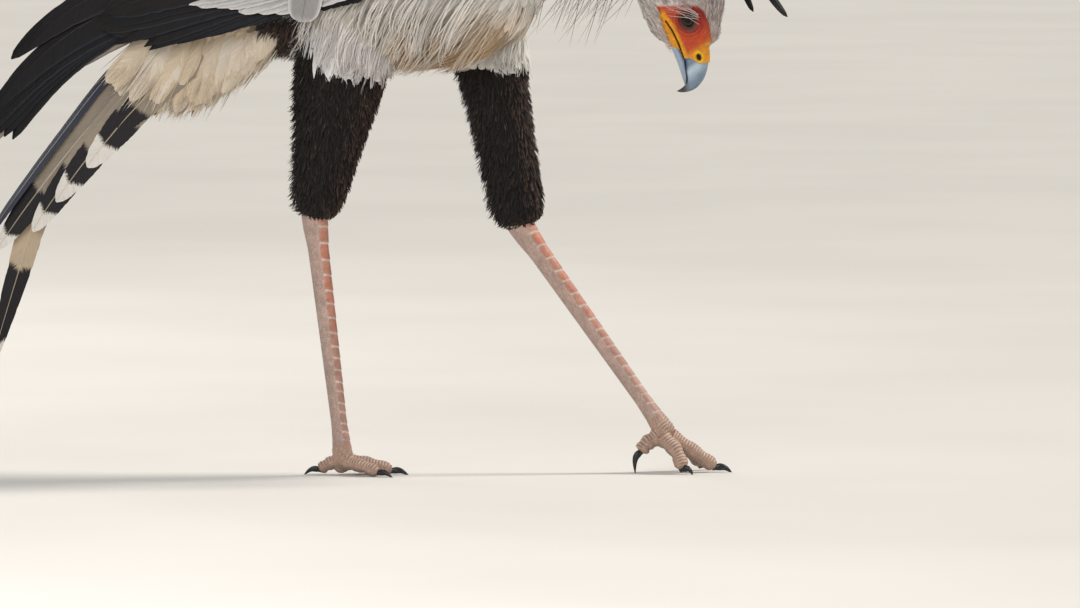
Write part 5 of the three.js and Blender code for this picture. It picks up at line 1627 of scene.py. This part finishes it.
def makeTailCoverts(form):  # rows of rounded plumes from the vent to under the tail, each with fine strands over it
    bunch, count, each = Bunch(), form["count"], form["loose"]
    share = np.linspace(-1, 1, count)
    near = np.abs(share)[:, None]  # 0 in the middle, 1 at the sides
    pick, many = np.repeat(np.arange(count), each), count * each
    for t in np.arange(form["rows"]) / (form["rows"] - 1):
        rootMid, rootSide, tipMid, tipSide = (
            sideCurve(form[key], t)[[0, 2]] for key in ("rootMid", "rootSide", "tipMid", "tipSide"))
        root = mix(rootMid, rootSide, near)
        tip = mix(tipMid, tipSide, near ** 1.5) + rng.normal(0, 3, (count, 2))
        y = form["spread"] * mix(1, 0.84, t) * np.sin(share * math.pi / 2)
        start = np.stack([root[:, 0], y * 0.9, root[:, 1]], -1)
        end = np.stack([tip[:, 0], y * mix(0.8, 0.98, t) + rng.normal(0, 2, count), tip[:, 1]], -1)
        belly = (start + end) / 2 + np.stack([3 - 2 * near[:, 0], y * 0.2, -3 + 0 * y], -1)
        facing = np.stack([0.3 * (1 - near[:, 0]), 1.2 * share, -1 + near[:, 0] * 0.95], -1)
        at, length, half = freeVanes(np.stack([start, belly, end], 1), facing, rng.uniform(*form["width"], count), form)
        place = np.stack([np.full(count, 0.05 + 0.9 * t), (share + 1) / 2 * 0.9 + 0.05], -1)
        # the cream here is painted warm shade over the white plumes
        tint = toned(mix(coatTint["white"], coatTint["cream"], rng.uniform(0.6, 1.0, (count, 1))), 0.95, 1.05)
        bunch.add(at, midSection, length, half, place, rng.random(count), tint, toned(tint, 1.05, 1.15), 0.4)
        jitter = rng.normal(0, 1, (many, 3)) * np.array([6, 2.5, 5])
        begin = mix(start[pick], end[pick], rng.uniform(0.0, 0.55, (many, 1))) + jitter
        lift = unit(facing)[pick] * rng.uniform(1.0, 3.5, (many, 1))
        finish = end[pick] + jitter * 1.3 + rng.normal(0, 3, (many, 3))
        middle = (begin + finish) / 2 + lift + rng.normal(0, 1.5, (many, 3))
        s = np.linspace(0, 1, 8)
        shaft = clumped(curvesAt(np.stack([begin + lift * 0.4, middle, finish], 1), s), 6, (0.1, 0.7))[0]
        out = squareTo(facing[pick][:, None], unit(np.gradient(shaft, axis=1)))
        half = rng.uniform(0.4, 1.0, many)[:, None] * vaneOutline(s, 2.2, 0.7)[None]
        at = vanes(shaft, out, half, softSection,
                   {"slant": 0, "camber": 0.1, "thick": 0.3, "roll": rng.normal(0, 0.5, many)})
        bunch.add(at, softSection, lengthsOf(shaft), half, place[pick], rng.random(many), toned(tint[pick], 0.95, 1.12))
    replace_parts(bunch.put("tail_coverts", soft, "body_white", 60), "tail")


# Crest: spatulate black plumes that fan from the nape, in uneven pairs
crestForm = {"pairs": 11, "section": broadSection, "rings": 30, "blunt": 3.4, "quill": 0.2, "flare": 1.1, "camber": 0.1,
             "slant": 0.6, "thick": 0.4, "nick": 0.04, "width": (17, 23),
             "nape": [[296, 0, 646], [318, 0, 634], [336, 0, 612]],
             "lowTips": {20: (416, -22, 547), 18: (456, -26, 541), 21: (404, 24, 574), 19: (446, 28, 578),
                         16: (470, -20, 584)}}


def makeCrest(form):  # roots along the nape, each pair turned further down, with a few low tips listed
    bunch, count = Bunch(), 2 * form["pairs"]
    i = np.arange(count)
    side = np.where(i % 2 == 1, 1, -1)
    fan = (i // 2) / (form["pairs"] - 1)
    sway = np.sin(2.4 * i)
    turn = np.radians(mix(106, -40, np.minimum(1, 1.14 * fan)) + 5 * side + 4 * sway)
    length = 100 + 46 * np.sin(math.pi * fan ** 1.4) + 12 * sway
    root = curveAt(form["nape"], fan)[0]
    root[:, 1] += side * (9 + 6 * sway)
    tip = root + np.stack([length * np.cos(turn), root[:, 1] * 1.1, length * np.sin(turn)], -1)
    for k, place in form["lowTips"].items():
        tip[k] = place
    bend = (root + tip) / 2 + np.stack([4 + 8 * fan, 0 * fan, 10 + 10 * fan], -1)
    facing = np.stack([-np.sin(turn), side * 1.1, np.cos(turn)], -1)
    at, length, half = freeVanes(np.stack([root, bend, tip], 1), facing, rng.uniform(*form["width"], count), form)
    place = np.stack([0.05 + 0.9 * fan, 0.5 + side * (0.1 + 0.02 * sway)], -1)
    dark = toned(np.broadcast_to(rgb("141214"), (count, 3)), 0.85, 1.15)
    bunch.add(at, broadSection, length, half, place, rng.random(count), dark)
    bunch.put("crest", quills, "feather_black", 40)


print("tail and crest")
makeTail()
makeTailCoverts(underTail)
makeCrest(crestForm)


def addStrands(bunch, points, widths, rings, place, tint, low):
    # thin tapering hairs on free curves through their points, facing the bird's side
    count, s = len(points), np.linspace(0, 1, rings)
    shaft = curvesAt(points, s)
    out = squareTo(np.array([0.0, 1.0, 0.2]), unit(np.gradient(shaft, axis=1)))
    half = widths[:, None] * np.sqrt(1 - (0.99 * s) ** 3)[None]
    at = vanes(shaft, out, half, softSection, {"slant": 0.0, "camber": 0.0, "thick": 0.5})
    bunch.add(at, softSection, lengthsOf(shaft), half, place, rng.random(count),
              toned(np.broadcast_to(rgb(tint), (count, 3)), low, 1.1))


def makeWisps():  # hair-like plumes under the neck, and the lashes that sweep back over each eye
    bunch, count = Bunch(), 130
    x = rng.uniform(165, 285, count)
    y = rng.uniform(-22, 22, count)
    z = 645 - 0.1 * (x - 165) + rng.normal(0, 4, count)
    drop = rng.uniform(60, 130, count)
    back = rng.uniform(10, 55, count)
    start = np.stack([x, y, z], -1)
    end = start + np.stack([-back, y * 0.3, -drop], -1)
    bend = (start + end) / 2 + np.stack([back * 0.35, 0 * y, -drop * 0.05], -1)
    addStrands(bunch, np.stack([start, bend, end], 1), rng.uniform(0.25, 0.5, count), 10,
               np.stack([0.05 + 0.9 * (x - 165) / 120, 0.5 + y / 60], -1), "b5aca4", 0.6)
    for side in (1, -1):
        count = 26
        k = rng.permutation(np.linspace(0, 1, count))
        start = onHead(mix(-10, 2, k), 12.5 + 2 * np.sin(math.pi * k), side * (24.5 + 0 * k))
        end = onHead(mix(-42, -22, k) + rng.normal(0, 3, count), mix(-5, -21, k) + rng.normal(0, 3, count),
                     side * (33 + rng.uniform(-2, 2, count)))
        start = start + rng.normal(0, 1.8, (count, 3)) * np.array([1, 0.3, 1])
        bend = (start + end) / 2 + side * yAxis * 5 + towardsCrown * rng.uniform(0, 6, (count, 1))
        addStrands(bunch, np.stack([start, bend, end], 1), rng.uniform(0.12, 0.3, count), 12,
                   np.stack([0.9 + 0 * k, 0.1 + 0.03 * k], -1), "e6d9d2", 0.7)
    bunch.put("wisps_and_lashes", softGrey, "feather_grey")


print("wisps and lashes")
makeWisps()

# Floor and light
stageForm = {"floor": rgb("e6e2db"), "patch": rgb("e1ddd6"), "reach": 70.0}


def addObject(name, data):  # an object of the scene itself
    made = bpy.data.objects.new(name, data)
    scene.collection.objects.link(made)
    return made


def makeStage(form):  # a wide disc: rings of growing radius round the bird
    rr, aa = np.meshgrid(np.geomspace(0.5, form["reach"], 12), ringAngles(64), indexing="ij")
    points = np.concatenate([[[0, 0, 0]], np.stack([rr * np.cos(aa), rr * np.sin(aa), 0 * rr], -1).reshape(-1, 3)])
    index = 1 + np.arange(rr.size).reshape(rr.shape)
    after = np.roll(index, -1, 1)
    quads = np.stack([index[:-1], index[1:], after[1:], after[:-1]], -1).reshape(-1, 4)
    hub = np.stack([0 * index[0], index[0], after[0]], -1)
    mesh = bpy.data.meshes.new("floor")
    mesh.from_pydata(points.tolist(), [], quads.tolist() + hub.tolist())
    w = Wiring("floor")
    tone = w.blend(w.ramp(w.noise(w.place(), 1.5, 2.0), 0.3, 0.7), form["floor"], form["patch"])
    mesh.materials.append(w.end(tone, 0.85))
    addObject("floor", mesh)


def aim(lamp, way):  # turned so that it shines the given way
    lamp.rotation_euler = (math.acos(np.clip(-way[2], -1, 1)), 0, math.atan2(way[0], -way[1]) + math.pi)


def makeLight(name, place, target, size, power, colour):  # a soft rectangle that faces its target
    data = bpy.data.lights.new(name, "AREA")
    data.shape = "RECTANGLE"
    data.size, data.size_y = size
    data.energy, data.color = power, colour
    lamp = addObject(name, data)
    lamp.location = place
    aim(lamp, unit(np.array(target, float) - np.array(place, float)))


def makeSun(name, place, strength, wide, colour):  # even light from the side of its place
    data = bpy.data.lights.new(name, "SUN")
    data.energy, data.angle, data.color = strength, math.radians(wide), colour
    aim(addObject(name, data), unit(-np.array(place, float)))


lights = {
    "fill": ((-1.2, -3.4, 1.9), (0, 0, 0.35), (2.6, 2.0), 62, (0.97, 0.98, 1.0)),
    "rim": ((-2.2, 2.4, 2.0), (0, 0, 0.5), (1.6, 1.6), 30, (1.0, 0.98, 0.95)),
}
print("stage and light")
makeStage(stageForm)
makeSun("key", (1.5, 0.35, 1.6), 2.5, 12.0, (1.0, 0.95, 0.88))
for name, form in lights.items():
    makeLight(name, *form)
world = bpy.data.worlds.new("studio")
scene.world = world
world.use_nodes = True
world.node_tree.nodes["Background"].inputs["Color"].default_value = (0.93, 0.95, 0.98, 1)
world.node_tree.nodes["Background"].inputs["Strength"].default_value = 0.36
scene.view_settings.view_transform = "Standard"
